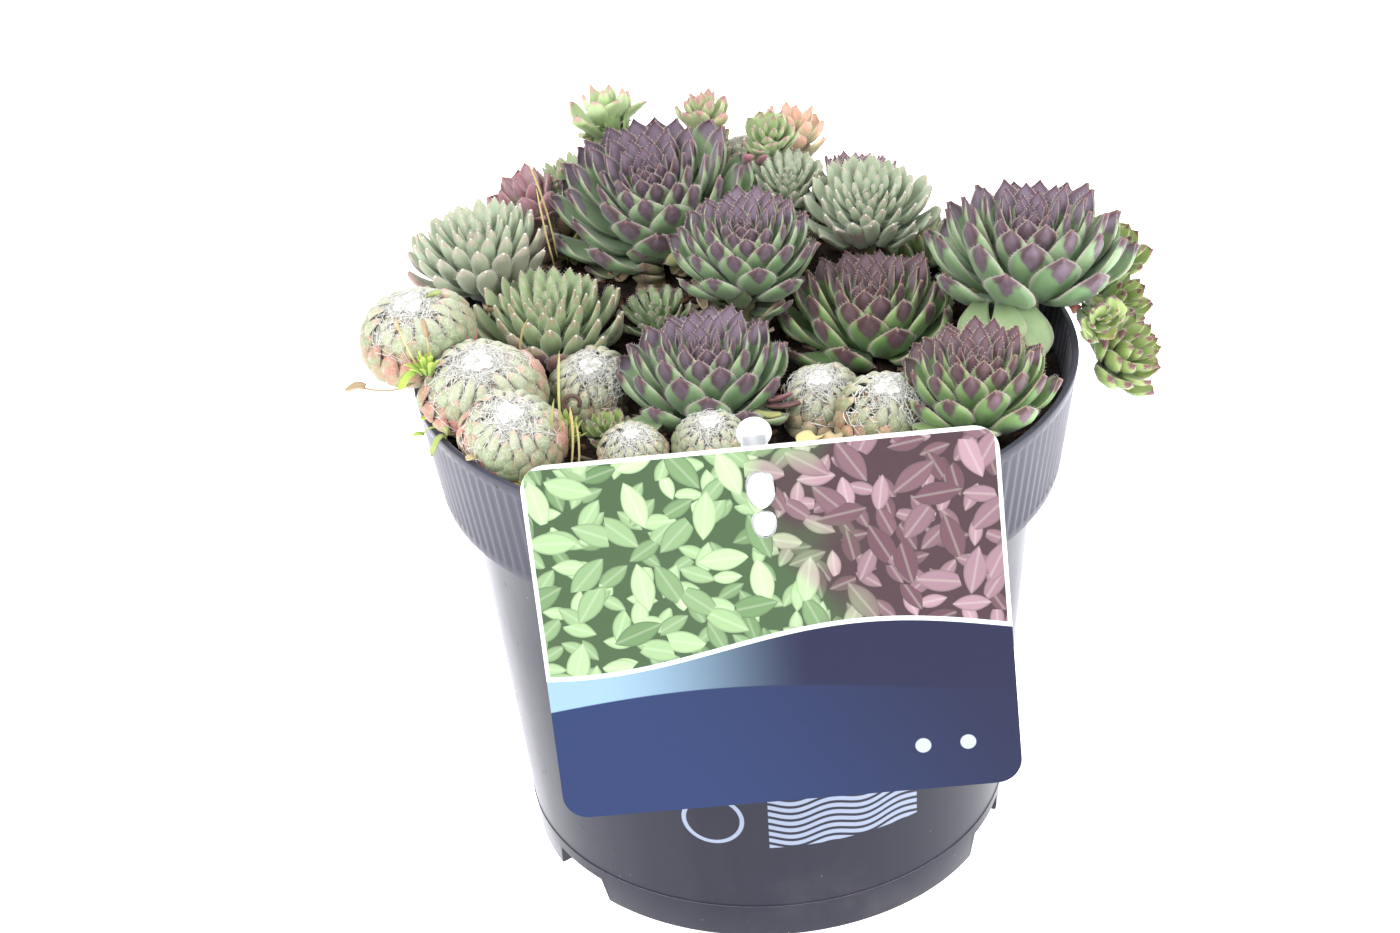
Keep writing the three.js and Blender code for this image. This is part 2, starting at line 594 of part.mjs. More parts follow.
// An upright oval that is narrower at its foot, with its middle at the given height.
function eggOutline(width, length, middle, Kind) {
  const outline = new Kind();
  const half = width / 2;
  const top = middle + length / 2;
  const foot = middle - length / 2;
  const waist = middle + length * 0.1;
  outline.moveTo(0, foot);
  outline.bezierCurveTo(half * 0.7, foot, half, middle - length * 0.2, half, waist);
  outline.bezierCurveTo(half, top - length * 0.1, half * 0.6, top, 0, top);
  outline.bezierCurveTo(-half * 0.6, top, -half, top - length * 0.1, -half, waist);
  outline.bezierCurveTo(-half, middle - length * 0.2, -half * 0.7, foot, 0, foot);
  return outline;
}

// Turns a piece drawn on the label's face, with the middle of its top edge at zero, into its place.
function ontoLabel(geometry) {
  const rad = THREE.MathUtils.degToRad;
  geometry.rotateZ(rad(LABEL_ROLL)).rotateX(Math.PI / 2 - rad(LABEL_TILT)).rotateZ(rad(LABEL_YAW));
  return geometry.translate(...LABEL_TOP);
}

function makeLabel() {
  const w = LABEL_WIDTH / 2;
  const c = LABEL_CORNER;
  const outline = new THREE.Shape();
  outline.moveTo(-w + c, 0);
  outline.absarc(-w + c, -c, c, Math.PI / 2, Math.PI, false);
  outline.absarc(-w + c, -LABEL_LENGTH + c, c, Math.PI, Math.PI * 1.5, false);
  outline.absarc(w - c, -LABEL_LENGTH + c, c, Math.PI * 1.5, Math.PI * 2, false);
  outline.absarc(w - c, -c, c, 0, Math.PI / 2, false);
  for (const hole of [UPPER_HOLE, LOWER_HOLE]) {
    outline.holes.push(eggOutline(hole.width, hole.length, -hole.below, THREE.Path));
  }
  const options = { depth: LABEL_THICKNESS, bevelEnabled: false, curveSegments: 4 };
  const geometry = new THREE.ExtrudeGeometry(outline, options).translate(0, 0, -LABEL_THICKNESS);
  return toMesh('label', 'label', toSolid(ontoLabel(geometry)), new THREE.Vector3(...LABEL_TOP));
}

// A knob of the stake that stands through a hole of the label.
function knob(hole, proud) {
  const slack = 2 * TOUCH_GAP;
  const outline = eggOutline(hole.width - slack, hole.length - slack, -hole.below, THREE.Shape);
  const back = LABEL_THICKNESS + TOUCH_GAP + TONGUE_THICKNESS * 0.9;
  const options = { depth: back + proud, bevelEnabled: false, curveSegments: 4 };
  return toSolid(ontoLabel(new THREE.ExtrudeGeometry(outline, options).translate(0, 0, -back)));
}

// The tongue behind the label that joins the knobs.
function tongue() {
  const top = -(UPPER_HOLE.below - UPPER_HOLE.length / 2);
  const foot = -(LOWER_HOLE.below + LOWER_HOLE.length / 2);
  const geometry = new THREE.BoxGeometry(STAKE_WIDTH, top - foot, TONGUE_THICKNESS);
  const back = LABEL_THICKNESS + TOUCH_GAP + TONGUE_THICKNESS / 2;
  return toSolid(ontoLabel(geometry.translate(0, (top + foot) / 2, -back)));
}

// The bridge that carries the tongue over the rim.
function bridge() {
  const { width, length, height, middle, aboveRim } = BRIDGE;
  const geometry = new THREE.BoxGeometry(width, length, height);
  return toSolid(geometry.translate(STAKE_TOP[0], middle, RIM_HEIGHT + aboveRim));
}

function makeStake() {
  const top = new THREE.Vector3(...STAKE_TOP);
  const foot = new THREE.Vector3(...STAKE_FOOT);
  const up = top.clone().sub(foot);
  const length = up.length();
  const outline = new THREE.Shape([
    new THREE.Vector2(0, 0),
    new THREE.Vector2(STAKE_WIDTH / 2, STAKE_WIDTH),
    new THREE.Vector2(STAKE_WIDTH / 2, length),
    new THREE.Vector2(-STAKE_WIDTH / 2, length),
    new THREE.Vector2(-STAKE_WIDTH / 2, STAKE_WIDTH),
  ]);
  const head = eggOutline(STAKE_HEAD.width, STAKE_HEAD.length, length - 0.6, THREE.Shape);
  const options = { depth: STAKE_THICKNESS, bevelEnabled: false, curveSegments: 5 };
  const lean = Math.atan2(foot.y - top.y, up.z);
  const parts = [outline, head].map((shape) => {
    const geometry = new THREE.ExtrudeGeometry(shape, options).translate(0, 0, -STAKE_THICKNESS / 2);
    geometry.rotateX(Math.PI / 2 + lean).translate(...STAKE_FOOT);
    return toSolid(geometry);
  });
  parts.push(bridge(), tongue());
  parts.push(knob(UPPER_HOLE, UPPER_KNOB_PROUD), knob(LOWER_HOLE, LOWER_KNOB_PROUD));
  return toMesh('label_stake', 'stake', mainBody(join(parts)), top);
}

function stakeSlot() {
  const top = new THREE.Vector3(...STAKE_TOP);
  const foot = new THREE.Vector3(...STAKE_FOOT);
  const length = top.distanceTo(foot);
  const room = 2 * HOLE_SLACK;
  const geometry = new THREE.BoxGeometry(STAKE_WIDTH + room, length, STAKE_THICKNESS + room);
  geometry.translate(0, length / 2 - HOLE_SLACK, 0);
  const lean = Math.atan2(foot.y - top.y, top.z - foot.z);
  return toSolid(geometry.rotateX(Math.PI / 2 + lean).translate(...STAKE_FOOT));
}

// ---------------------------------------------------------------- pebbles

function makePebble({ name, at, size }) {
  const geometry = new THREE.IcosahedronGeometry(1, 0);
  const face = new THREE.Vector3(1, 1, 1).normalize();
  const faceDown = new THREE.Quaternion().setFromUnitVectors(face, new THREE.Vector3(0, 0, -1));
  geometry.applyQuaternion(faceDown).scale(size[0] / 2, size[1] / 2, size[2] / 2);
  geometry.computeBoundingBox();
  const rest = soilHeight(...at) + TOUCH_GAP;
  const place = new THREE.Vector3(at[0], at[1], rest - geometry.boundingBox.min.z);
  return toMesh(name, 'stone', toSolid(geometry.translate(...place)), place);
}

// ---------------------------------------------------------------- the whole

const plants = PLANTS.map(placed);
const branchChicks = BRANCH_CHICKS.map(placed);
const neighbours = [...plants, ...branchChicks];

const hensAndChicks = new THREE.Group();
hensAndChicks.add(makePot());
hensAndChicks.add(makeSoil([...plants.map(stemHole), branchHole(), stakeSlot()]));
for (const plant of plants) {
  const planes = [...neighbourPlanes(plant, neighbours), ...rimPlanes(plant)];
  const solid = join([makeRosette(plant, planes), makeStem(plant)]);
  hensAndChicks.add(toMesh(plant.name, plant.paint, mainBody(solid), plant.centre));
}
hensAndChicks.add(makeBranch(branchChicks, neighbours));
hensAndChicks.add(makeLabel());
hensAndChicks.add(makeStake());
for (const pebble of PEBBLES) hensAndChicks.add(makePebble(pebble));

export default hensAndChicks;
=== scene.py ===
"""Hens and chicks: the finish of a pot of houseleeks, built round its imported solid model.

Tables and sums below are in millimetres, as the solid model's source is, and meshes are made in
metres. The pot's axis is the Z axis, and the plant label faces -Y.
"""

import copy
import math

import bpy
import numpy as np
from mathutils import Matrix, Vector


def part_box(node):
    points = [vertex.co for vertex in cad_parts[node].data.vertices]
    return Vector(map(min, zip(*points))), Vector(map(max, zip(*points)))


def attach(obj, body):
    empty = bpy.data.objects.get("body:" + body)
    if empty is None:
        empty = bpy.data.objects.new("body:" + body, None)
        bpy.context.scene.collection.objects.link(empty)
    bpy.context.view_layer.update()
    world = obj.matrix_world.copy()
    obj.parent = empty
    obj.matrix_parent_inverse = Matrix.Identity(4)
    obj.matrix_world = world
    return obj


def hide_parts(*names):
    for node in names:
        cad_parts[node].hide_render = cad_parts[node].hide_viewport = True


bl_info = {
    "name": "Hens and Chicks",
    "version": (1, 0, 0),
    "blender": (4, 5, 0),
    "location": "View3D > Sidebar > Hens and Chicks",
    "description": "Models a pot of houseleeks with its plant label",
    "category": "Object",
}

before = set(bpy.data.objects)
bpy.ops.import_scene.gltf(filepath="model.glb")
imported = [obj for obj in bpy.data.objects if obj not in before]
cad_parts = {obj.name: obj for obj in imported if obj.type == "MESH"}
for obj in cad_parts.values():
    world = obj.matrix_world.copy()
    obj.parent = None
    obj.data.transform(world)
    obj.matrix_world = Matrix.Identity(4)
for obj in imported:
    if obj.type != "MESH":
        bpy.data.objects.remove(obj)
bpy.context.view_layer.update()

MM = 0.001

# ---------------------------------------------------------------- sizes

RIM_HEIGHT = round(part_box("pot")[1].z / MM, 3)
RIM_RADIUS = 65.0
COLLAR_HEIGHT = 23.4
COLLAR_FOOT = RIM_HEIGHT - COLLAR_HEIGHT
COLLAR_FOOT_RADIUS = 61.7
NECK_RADIUS = 56.6
BASE_RADIUS = 49.5
WALL = 1.5
INNER_RIM = RIM_RADIUS - WALL
FOOT_RING_WIDTH = 4.6
CENTRE_PAD_RADIUS = 18.0
RECESS_HEIGHT = 3.5
FLOOR_TOP = 5.6
DRAIN_HOLES = 5
DRAIN_HOLE_RADIUS = 3.5
DRAIN_CIRCLE_RADIUS = 32.0
NOTCH_CENTRES = (-54, 64, 185)
NOTCH_HALF_ANGLE = 8
NOTCH_HEIGHT = 5.3
NOTCH_DEPTH = 4.3
NOTCH_FLARE = 1.25

SOIL_BELOW_RIM = 9.0
MOUND_RISE = 15.0
MOUND_CENTRE = (-4.0, 44.0)
MOUND_SPREAD = (34.0, 16.0)

LABEL_TOP = Vector((-0.4, -66.5, RIM_HEIGHT + 15.8))
LABEL_WIDTH = 82.5
LABEL_THICKNESS = 0.6
LABEL_TILT = 10.5
LABEL_ROLL = 3.0
LABEL_YAW = -2.7
# Each hole's depth below the label's top edge, its width and its length.
UPPER_HOLE = (8.0, 5.3, 6.9)
LOWER_HOLE = (14.4, 4.4, 5.2)
STAKE_WIDTH = 4.6
STAKE_THICKNESS = 1.4
STAKE_TOP = Vector((-0.6, -62.6, RIM_HEIGHT + 16.6))
STAKE_FOOT = Vector((-0.6, -50.5, 75.0))
STAKE_HEAD = (6.2, 7.4)
BRIDGE_SIZE = (3.8, 8.6, 3.4)
BRIDGE_PLACE = Vector((STAKE_TOP.x, -63.4, RIM_HEIGHT + 3.4))
TONGUE_THICKNESS = 1.0
TONGUE_ROOM = 0.3               # between the label and the tongue behind it
KNOB_ROOM = 0.6                 # how much smaller a knob is than its hole
KNOB_ROOT = 0.9                 # how deep in the tongue a knob begins
UPPER_KNOB_TOP = 1.5
LOWER_KNOB_TOP = 0.1

STEM_DEPTH = 5.4
STEM_REACH = 57.0               # how far from the pot's middle a stem can stand
SOIL_CLEARANCE = 0.6
GOLDEN_ANGLE = 2.39996
LEAF_GAP = 0.2
NEIGHBOUR_REACH = 1.35          # how far apart neighbours may be, in the sum of their radii
CLEARING_ROUNDS = 3

# ---------------------------------------------------------------- the plants
# Each row is the node, the form where a table has several, the look, the middle of the rosette with its
# height measured from the rim, its radius, its number of leaves and its axis's lean towards +X and +Y.

HENS = (
    ("purple_back_left", "cup", "dusk", (-16, 38, 15.5), 23.5, 74, (-0.12, -0.28)),
    ("purple_middle", "cup", "dusk", (1, 13, 15), 17, 66, (0, -0.15)),
    ("purple_right", "cup", "wine", (25.6, 11.5, -1), 20.5, 60, (0, -0.04)),
    ("purple_far_right", "cup", "dusk", (57, 9, 12), 22.5, 62, (0.04, -0.02)),
    ("purple_front", "cup", "dusk", (-8.4, -14.4, 2), 19.2, 60, (0, -0.05)),
    ("purple_front_right", "cup", "wine", (42.3, -28, 4), 17, 56, (0.03, -0.05)),
    ("green_left", "tuft", "frosted", (-52.3, 29, 11), 16, 76, (-0.1, 0)),
    ("green_front_left", "tuft", "tipped", (-38.4, 11, 3), 16.6, 76, (0, -0.05)),
    ("green_back_right", "tuft", "frosted", (27.3, 31, 14), 14.2, 76, (0, -0.33)),
    ("green_small_middle", "tuft", "tipped", (-17, 15, 1), 8.5, 34, (-0.1, -0.2)),
    ("chick_mossy", "tuft", "frosted", (12, 42, 15.5), 10, 54, (0, -0.3)),
    ("rear_green", "tuft", "tipped", (40, 40.5, 0), 12, 54, (0.1, 0.1)),
    ("rear_purple", "cup", "dusk", (27, 53.5, 9), 12.5, 44, (0.1, 0.35)),
    ("rear_green_left", "tuft", "tipped", (-33, 51, 15), 11, 48, (-0.2, 0.1)),
)
COBWEBS = (
    ("cobweb_left", "salmon", (-62.5, -5.5, 9.5), 10, 84, (-0.1, -0.25)),
    ("cobweb_front_left", "salmon", (-50.5, -17, 2), 10.8, 84, (0, -0.3)),
    ("cobweb_front", "salmon", (-44.8, -31.5, 0.5), 8.9, 76, (0.05, -0.4)),
    ("cobweb_inner_left", "straw", (-30, -8, -3), 8, 68, (0, -0.35)),
    ("cobweb_by_stake", "straw", (-8, -33, -2.2), 6.6, 62, (0, -0.3)),
    ("cobweb_small", "straw", (-22.3, -35, -2), 5.7, 56, (0, -0.3)),
    ("cobweb_right", "straw", (13.4, -18.5, -3.5), 7.7, 66, (0, -0.3)),
    ("cobweb_front_right", "rust", (25.3, -28, -2), 8.6, 62, (0, -0.25)),
    ("rear_cobweb", "straw", (4, 60, 10.5), 8.2, 66, (0, 0.5)),
    ("rear_cobweb_left", "salmon", (-14, 61, 10.5), 8, 66, (0, 0.5)),
    ("rear_cobweb_right", "rust", (49, 27.5, -1), 6.4, 56, (0.2, 0.1)),
)
CHICKS = (
    ("chick_green_front", "spotted", (-27, -27, -1), 5.2, 16, (0, -0.3)),
    ("chick_pale_top", "pale", (-25, 55, 28), 8.9, 14, (-0.1, 0.2)),
    ("chick_rosy_top", "rosy", (-4.5, 58, 25.5), 7, 15, (0, 0)),
    ("chick_light_top", "pale", (9, 50, 22.5), 7, 20, (0, -0.5)),
    ("chick_orange_top", "orange", (13.6, 58, 20.2), 8.5, 16, (0.15, 0)),
    ("chick_plum", "plum", (-42, 45, 13.5), 10.5, 18, (-0.2, -0.1)),
)
# The chicks on the branch share one node and one look.
BRANCH_NODE = "chicks_over_rim"
BRANCH_LOOK = "spotted"
BRANCH_CHICKS = (
    ((67.6, -5.5, 5), 6.4, 18, (0.5, -1.6)),
    ((74.6, -0.5, -7), 9.6, 26, (1.3, -1.1)),
    ((75.8, 13, -1.5), 8, 18, (1.0, -0.8)),
    ((75.8, 22, 4.5), 9, 18, (0.5, -0.6)),
)
BRANCH_FORK = (69, 9, 1.4)
BRANCH_BEND = (56.5, 18.5, 1.6)
STOLON_RADIUS = 0.9
STOLON_SAG = 0.8
OVER_RIM = 4.6                  # a chick this far above the rim sits on it, and a lower one hangs outside
BESIDE_RIM = 0.6

# Where the stems of the rosettes that stand high end in the soil, with the height measured from the rim.
STEM_FEET = {
    "chick_pale_top": (-25.49, 50.98, -3.23),
    "chick_rosy_top": (-4.5, 54, -2.06),
    "chick_light_top": (7, 46, -1),
    "chick_orange_top": (12, 51, -3),
    "chick_plum": (-40, 38, -7),
    "chick_mossy": (12, 40, -2),
    "rear_green_left": (-31, 46, -4),
    "rear_purple": (24, 49, -5),
    "purple_middle": (1, 13, -13),
    "purple_back_left": (-16, 36, -2),
}
RIM_LIFT = {"purple_far_right": 3.0}       # how far above the rim a hen that leans over it is kept

# Old leaves that hang below a hen: root, bend, tip, width and tone.
HANGING = {
    # These leaves' low tones darken them: partly their own darker green, partly painted shade, as they face
    # up into the light.
    "purple_far_right": (
        ((52.4, -3, 8), (55.2, -9, 7), (56.6, -10, -1), 7.8, -0.45),
        ((50, -4, 8), (50, -11, 8.5), (50.4, -12.5, 3.4), 7, -0.3),
        ((46.6, -3, 8), (44, -8, 8), (44, -10, 2.4), 6.6, -0.4),
    ),
    "purple_front": (
        ((-14, -18, -2), (-20, -29, -1), (-23.5, -33, 0.5), 7.4, -0.3),
        ((-7, -18, -3), (-8, -28, -3), (-6, -33, -0.5), 7, -0.2),
        ((0, -18, -3), (3, -26, -3), (6.5, -29, -0.4), 5.4, 0.28),
    ),
    "purple_front_right": (((39, -32, 0), (33, -38, -1), (29, -39.5, 1), 6, 0.28),),
}

HANGING_DEPTH = 1.6
HANGING_ALONG = 0.82            # keeps the tip's colour to the very end of a hanging leaf

PEBBLES = ("pebble_by_stake", "pebble_right", "pebble_left")

# ---------------------------------------------------------------- leaves
# rings are places along a leaf from its root to its tip, with its half width and its thickness there.
# inner is how much narrower the youngest leaves are, curl lifts the leaf's edges, and spread is what a
# rosette claims of its radius beside a neighbour.

LEAF_SIDES = 8
UPPER_SHARE = 0.35              # of a leaf's thickness, above its spine
THINNEST_LEAF = 0.55
FORMS = {
    "cup": {
        "width": 0.52, "inner": 0.66, "depth": 0.1, "spread": 0.92, "curl": 0.16,
        "rings": (0, 0.2, 0.4, 0.55, 0.66, 0.74, 0.8, 0.85, 0.895, 0.93, 0.965, 1),
        "widths": (0.42, 0.53, 0.73, 0.92, 1, 0.99, 0.92, 0.79, 0.61, 0.41, 0.19, 0.015),
        "depths": (1.1, 1.15, 1.1, 1, 0.95, 0.88, 0.8, 0.68, 0.55, 0.42, 0.25, 0.12),
    },
    "tuft": {
        "width": 0.32, "inner": 0.7, "depth": 0.12, "spread": 0.9, "curl": 0.12,
        "rings": (0, 0.2, 0.4, 0.58, 0.72, 0.83, 0.91, 0.96, 0.985, 1),
        "widths": (0.55, 0.68, 0.84, 0.96, 1, 0.92, 0.68, 0.34, 0.14, 0.04),
        "depths": (1, 1.05, 1.1, 1.05, 1, 0.85, 0.65, 0.45, 0.3, 0.15),
    },
    "star": {
        "width": 0.74, "inner": 0.8, "depth": 0.18, "spread": 0.86, "curl": 0.2,
        "rings": (0, 0.18, 0.36, 0.52, 0.66, 0.78, 0.87, 0.93, 0.97, 1),
        "widths": (0.45, 0.66, 0.86, 0.98, 1, 0.9, 0.66, 0.4, 0.16, 0.02),
        "depths": (0.9, 1, 1.05, 1, 0.92, 0.8, 0.62, 0.45, 0.3, 0.15),
    },
    "ball": {
        "width": 0.58, "inner": 0.9, "depth": 0.2, "spread": 1.0, "curl": -0.04,
        "rings": (0, 0.25, 0.48, 0.66, 0.8, 0.9, 0.96, 1),
        "widths": (0.5, 0.74, 0.95, 1, 0.94, 0.76, 0.46, 0.06),
        "depths": (0.9, 1, 1.1, 1.1, 1, 0.8, 0.55, 0.2),
    },
}
# The radius, top and foot of the short stem inside a rosette, in its radii.
CORES = {
    "cup": (0.42, 0.3, -0.62),
    "tuft": (0.42, 0.3, -0.6),
    "star": (0.3, 0.3, -0.58),
    "ball": (0.86, 0.84, -0.74),
}
BALL_HEIGHT = 0.88              # of a cobweb rosette, in the height of a round ball
WOOL_THREADS = 44               # for each millimetre of a cobweb rosette's radius
FEATHER_THREADS = 46


def srgb(red, green, blue):
    """A colour given as it looks on a screen, from 0 to 255, as the shader's linear values."""
    def linear(value):
        value /= 255
        return value / 12.92 if value <= 0.04045 else ((value + 0.055) / 1.055) ** 2.4
    return (linear(red), linear(green), linear(blue), 1.0)


def look(slot, reach, young=0.13, **colours):
    """A leaf's colours. The tip's begins at reach along the leaf, and sooner by young on a young one."""
    painted = {key: srgb(*colour) for key, colour in colours.items()}
    return {"slot": slot, "reach": reach, "young": young, **painted}


# deep and light are the leaf's own greens, tip and bloom the tip's colour outside and inside, edge its
# margin, point its very end, back the back of an outer leaf, and old the blush of the oldest ones.
LOOKS = {
    "dusk": look(
        "purple_leaf", 0.7,
        deep=(110, 143, 100), light=(156, 180, 138), tip=(84, 54, 70), bloom=(134, 114, 138),
        edge=(196, 182, 176), point=(134, 100, 104), back=(104, 138, 94), old=(164, 158, 96),
    ),
    "wine": look(
        "purple_leaf", 0.68,
        deep=(104, 140, 82), light=(146, 176, 116), tip=(84, 48, 62), bloom=(130, 102, 120),
        edge=(200, 182, 166), point=(160, 130, 108), back=(92, 132, 72), old=(150, 118, 84),
    ),
    "tipped": look(
        "green_leaf", 0.9,
        deep=(116, 138, 96), light=(164, 182, 140), tip=(150, 134, 112), bloom=(172, 182, 150),
        edge=(188, 196, 168), point=(228, 216, 206), back=(122, 92, 96), old=(132, 94, 100),
    ),
    "frosted": look(
        "green_leaf", 0.92,
        deep=(130, 147, 120), light=(182, 195, 168), tip=(172, 162, 148), bloom=(188, 196, 172),
        edge=(196, 204, 184), point=(236, 232, 222), back=(136, 130, 118), old=(146, 116, 114),
    ),
    "salmon": look(
        "cobweb_leaf", 1.1,
        deep=(108, 124, 86), light=(146, 156, 122), tip=(186, 136, 122), bloom=(198, 176, 152),
        edge=(202, 198, 178), point=(222, 204, 194), back=(176, 162, 126), old=(166, 108, 98),
    ),
    "straw": look(
        "cobweb_leaf", 1.05,
        deep=(104, 114, 80), light=(142, 148, 116), tip=(174, 150, 118), bloom=(196, 190, 164),
        edge=(206, 202, 182), point=(180, 152, 128), back=(170, 160, 128), old=(146, 118, 90),
    ),
    "rust": look(
        "cobweb_leaf", 1.0,
        deep=(98, 114, 70), light=(138, 146, 102), tip=(184, 140, 108), bloom=(196, 176, 142),
        edge=(208, 198, 168), point=(184, 136, 110), back=(180, 156, 116), old=(166, 116, 94),
    ),
    "pale": look(
        "pale_leaf", 0.86,
        deep=(146, 174, 112), light=(190, 208, 162), tip=(180, 146, 136), bloom=(192, 178, 160),
        edge=(206, 178, 168), point=(150, 100, 112), back=(160, 186, 124), old=(180, 190, 128),
    ),
    "rosy": look(
        "pale_leaf", 0.76,
        deep=(150, 170, 114), light=(190, 198, 158), tip=(178, 130, 130), bloom=(194, 160, 152),
        edge=(208, 174, 166), point=(146, 84, 96), back=(176, 176, 128), old=(186, 150, 116),
    ),
    "spotted": look(
        "pale_leaf", 0.88, young=0.1,
        deep=(122, 146, 78), light=(162, 180, 114), tip=(112, 68, 80), bloom=(140, 100, 106),
        edge=(192, 192, 154), point=(104, 60, 70), back=(132, 162, 88), old=(172, 164, 92),
    ),
    "orange": look(
        "red_leaf", 0.6,
        deep=(190, 184, 144), light=(214, 206, 172), tip=(208, 160, 140), bloom=(216, 182, 162),
        edge=(220, 192, 174), point=(156, 92, 88), back=(204, 162, 134), old=(196, 142, 112),
    ),
    "plum": look(
        "red_leaf", 0.5,
        deep=(150, 142, 122), light=(184, 170, 156), tip=(150, 104, 116), bloom=(178, 146, 156),
        edge=(206, 182, 180), point=(150, 98, 108), back=(160, 124, 128), old=(168, 122, 124),
    ),
}

# ---------------------------------------------------------------- small helpers


def deselect():
    if bpy.context.object and bpy.context.object.mode != "OBJECT":
        bpy.ops.object.mode_set(mode="OBJECT")
    bpy.ops.object.select_all(action="DESELECT")


def start_piece(name):
    """Names the primitive that was just added."""
    piece = bpy.context.object
    piece.name = name
    piece.data.name = name
    return piece


def apply_modifier(piece, kind, **settings):
    modifier = piece.modifiers.new(kind.title(), kind)
    for key, value in settings.items():
        setattr(modifier, key, value)
    bpy.context.view_layer.objects.active = piece
    bpy.ops.object.modifier_apply(modifier=modifier.name)


def apply_place(piece):
    """Puts the piece's place into its mesh, so that its object sits at the origin."""
    piece.data.transform(piece.matrix_basis)
    piece.matrix_basis = Matrix.Identity(4)


def start_edit():
    """Enters edit mode with the whole piece selected."""
    bpy.ops.object.mode_set(mode="EDIT")
    bpy.ops.mesh.select_all(action="SELECT")


def end_edit():
    """Points every face outwards and leaves edit mode."""
    bpy.ops.mesh.select_all(action="SELECT")
    bpy.ops.mesh.normals_make_consistent(inside=False)
    bpy.ops.object.mode_set(mode="OBJECT")


def points_of(piece):
    return np.array([vertex.co for vertex in piece.data.vertices])


def move_points(piece, points):
    piece.data.vertices.foreach_set("co", points.ravel())
    piece.data.update()


def join(parts, onto):
    """Joins parts into one of them."""
    deselect()
    for part in parts:
        part.select_set(True)
    bpy.context.view_layer.objects.active = onto
    bpy.ops.object.join()
    return onto


def smooth(piece, degrees):
    deselect()
    bpy.context.view_layer.objects.active = piece
    piece.select_set(True)
    bpy.ops.object.shade_smooth_by_angle(angle=math.radians(degrees))


def finish_piece(piece, material, slot, nodes=()):
    """Gives a piece its material and hides the nodes that it stands for. The slot is not used."""
    piece.data.materials.append(material)
    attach(piece, "root")
    for node in nodes:
        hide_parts(node)


def ring_stack(name, profile, sides):
    """A body turned round the Z axis: a circle that is extruded and resized from ring to ring."""
    deselect()
    radius, height = profile[0]
    bpy.ops.mesh.primitive_circle_add(vertices=sides, radius=radius * MM, location=(0, 0, height * MM))
    piece = start_piece(name)
    apply_place(piece)
    start_edit()
    bpy.ops.mesh.edge_face_add()
    for (radius, height), (next_radius, next_height) in zip(profile, profile[1:]):
        rise = (next_height - height) * MM
        bpy.ops.mesh.extrude_region_move(TRANSFORM_OT_translate={"value": (0, 0, rise)})
        share = next_radius / radius
        bpy.ops.transform.resize(value=(share, share, 1), center_override=(0, 0, next_height * MM))
    end_edit()
    return piece


def mesh_piece(name, points, faces, values=None):
    """A piece from points in millimetres, with named values stored at its points."""
    mesh = bpy.data.meshes.new(name)
    mesh.from_pydata((np.asarray(points) * MM).tolist(), [], faces)
    for key, column in (values or {}).items():
        mesh.attributes.new(key, "FLOAT", "POINT").data.foreach_set("value", np.asarray(column, np.float32))
    mesh.validate()
    mesh.update()
    mesh.shade_smooth()
    piece = bpy.data.objects.new(name, mesh)
    bpy.context.scene.collection.objects.link(piece)
    return piece


def unit(vectors):
    """Each vector with its length made one."""
    return vectors / (np.linalg.norm(vectors, axis=-1, keepdims=True) + 1e-9)


def curve(share, root, bend, tip):
    """Points on a line from its root to its tip that its bend draws out, and the line's direction there."""
    points = (1 - share) ** 2 * root + 2 * share * (1 - share) * bend + share**2 * tip
    return points, unit((1 - share) * (bend - root) + share * (tip - bend))


def from_rim(*places):
    """Places whose height is measured from the rim, measured from the pot's base."""
    return [np.array(place, float) + np.array((0, 0, RIM_HEIGHT)) for place in places]


class Shape:
    """Points, faces and named values that several parts are gathered in."""

    def __init__(self, *keys):
        self.points = []
        self.faces = []
        self.values = {key: [] for key in keys}
        self.count = 0

    def add(self, points, faces, **values):
        points = np.asarray(points, float).reshape(-1, 3)
        self.points.append(points)
        self.faces.extend([tuple(corner + self.count for corner in face) for face in faces])
        for key, stored in self.values.items():
            stored.append(np.broadcast_to(np.asarray(values.get(key, 0.0), float), len(points)))
        self.count += len(points)

    def add_leaf(self, leaf, points, **values):
        painted = {"along": leaf.along, "across": leaf.across, "face": leaf.face, **values}
        self.add(points, leaf.faces, **painted)

    def piece(self, name):
        columns = {key: np.concatenate(stored) for key, stored in self.values.items()}
        return mesh_piece(name, np.concatenate(self.points), self.faces, columns)


# ---------------------------------------------------------------- shader sums


class Value:
    """A socket that can be written in sums."""

    def __init__(self, paint, socket):
        self.paint = paint
        self.socket = socket

    def maths(self, operation, *others, first=None):
        values = [self if first is None else first, *others]
        return self.paint.node("ShaderNodeMath", {"operation": operation}, dict(enumerate(values)))

    def __add__(self, other):
        return self.maths("ADD", other)

    def __sub__(self, other):
        return self.maths("SUBTRACT", other)

    def __rsub__(self, other):
        return self.maths("SUBTRACT", self, first=other)

    def __mul__(self, other):
        return self.maths("MULTIPLY", other)

    def __truediv__(self, other):
        return self.maths("DIVIDE", other)

    def __pow__(self, other):
        return self.maths("POWER", other)

    def __abs__(self):
        return self.maths("ABSOLUTE")

    __radd__ = __add__
    __rmul__ = __mul__

    def most(self, other):
        return self.maths("MAXIMUM", other)

    def ramp(self, low, high):
        """Rises smoothly from 0 at low to 1 at high, and falls where high is less than low."""
        settings = {"interpolation_type": "SMOOTHSTEP", "clamp": True}
        falls = not isinstance(low, Value) and not isinstance(high, Value) and low > high
        limits = (high, low, 1.0, 0.0) if falls else (low, high, 0.0, 1.0)
        inputs = dict(zip(("From Min", "From Max", "To Min", "To Max"), limits))
        return self.paint.node("ShaderNodeMapRange", settings, {"Value": self, **inputs})


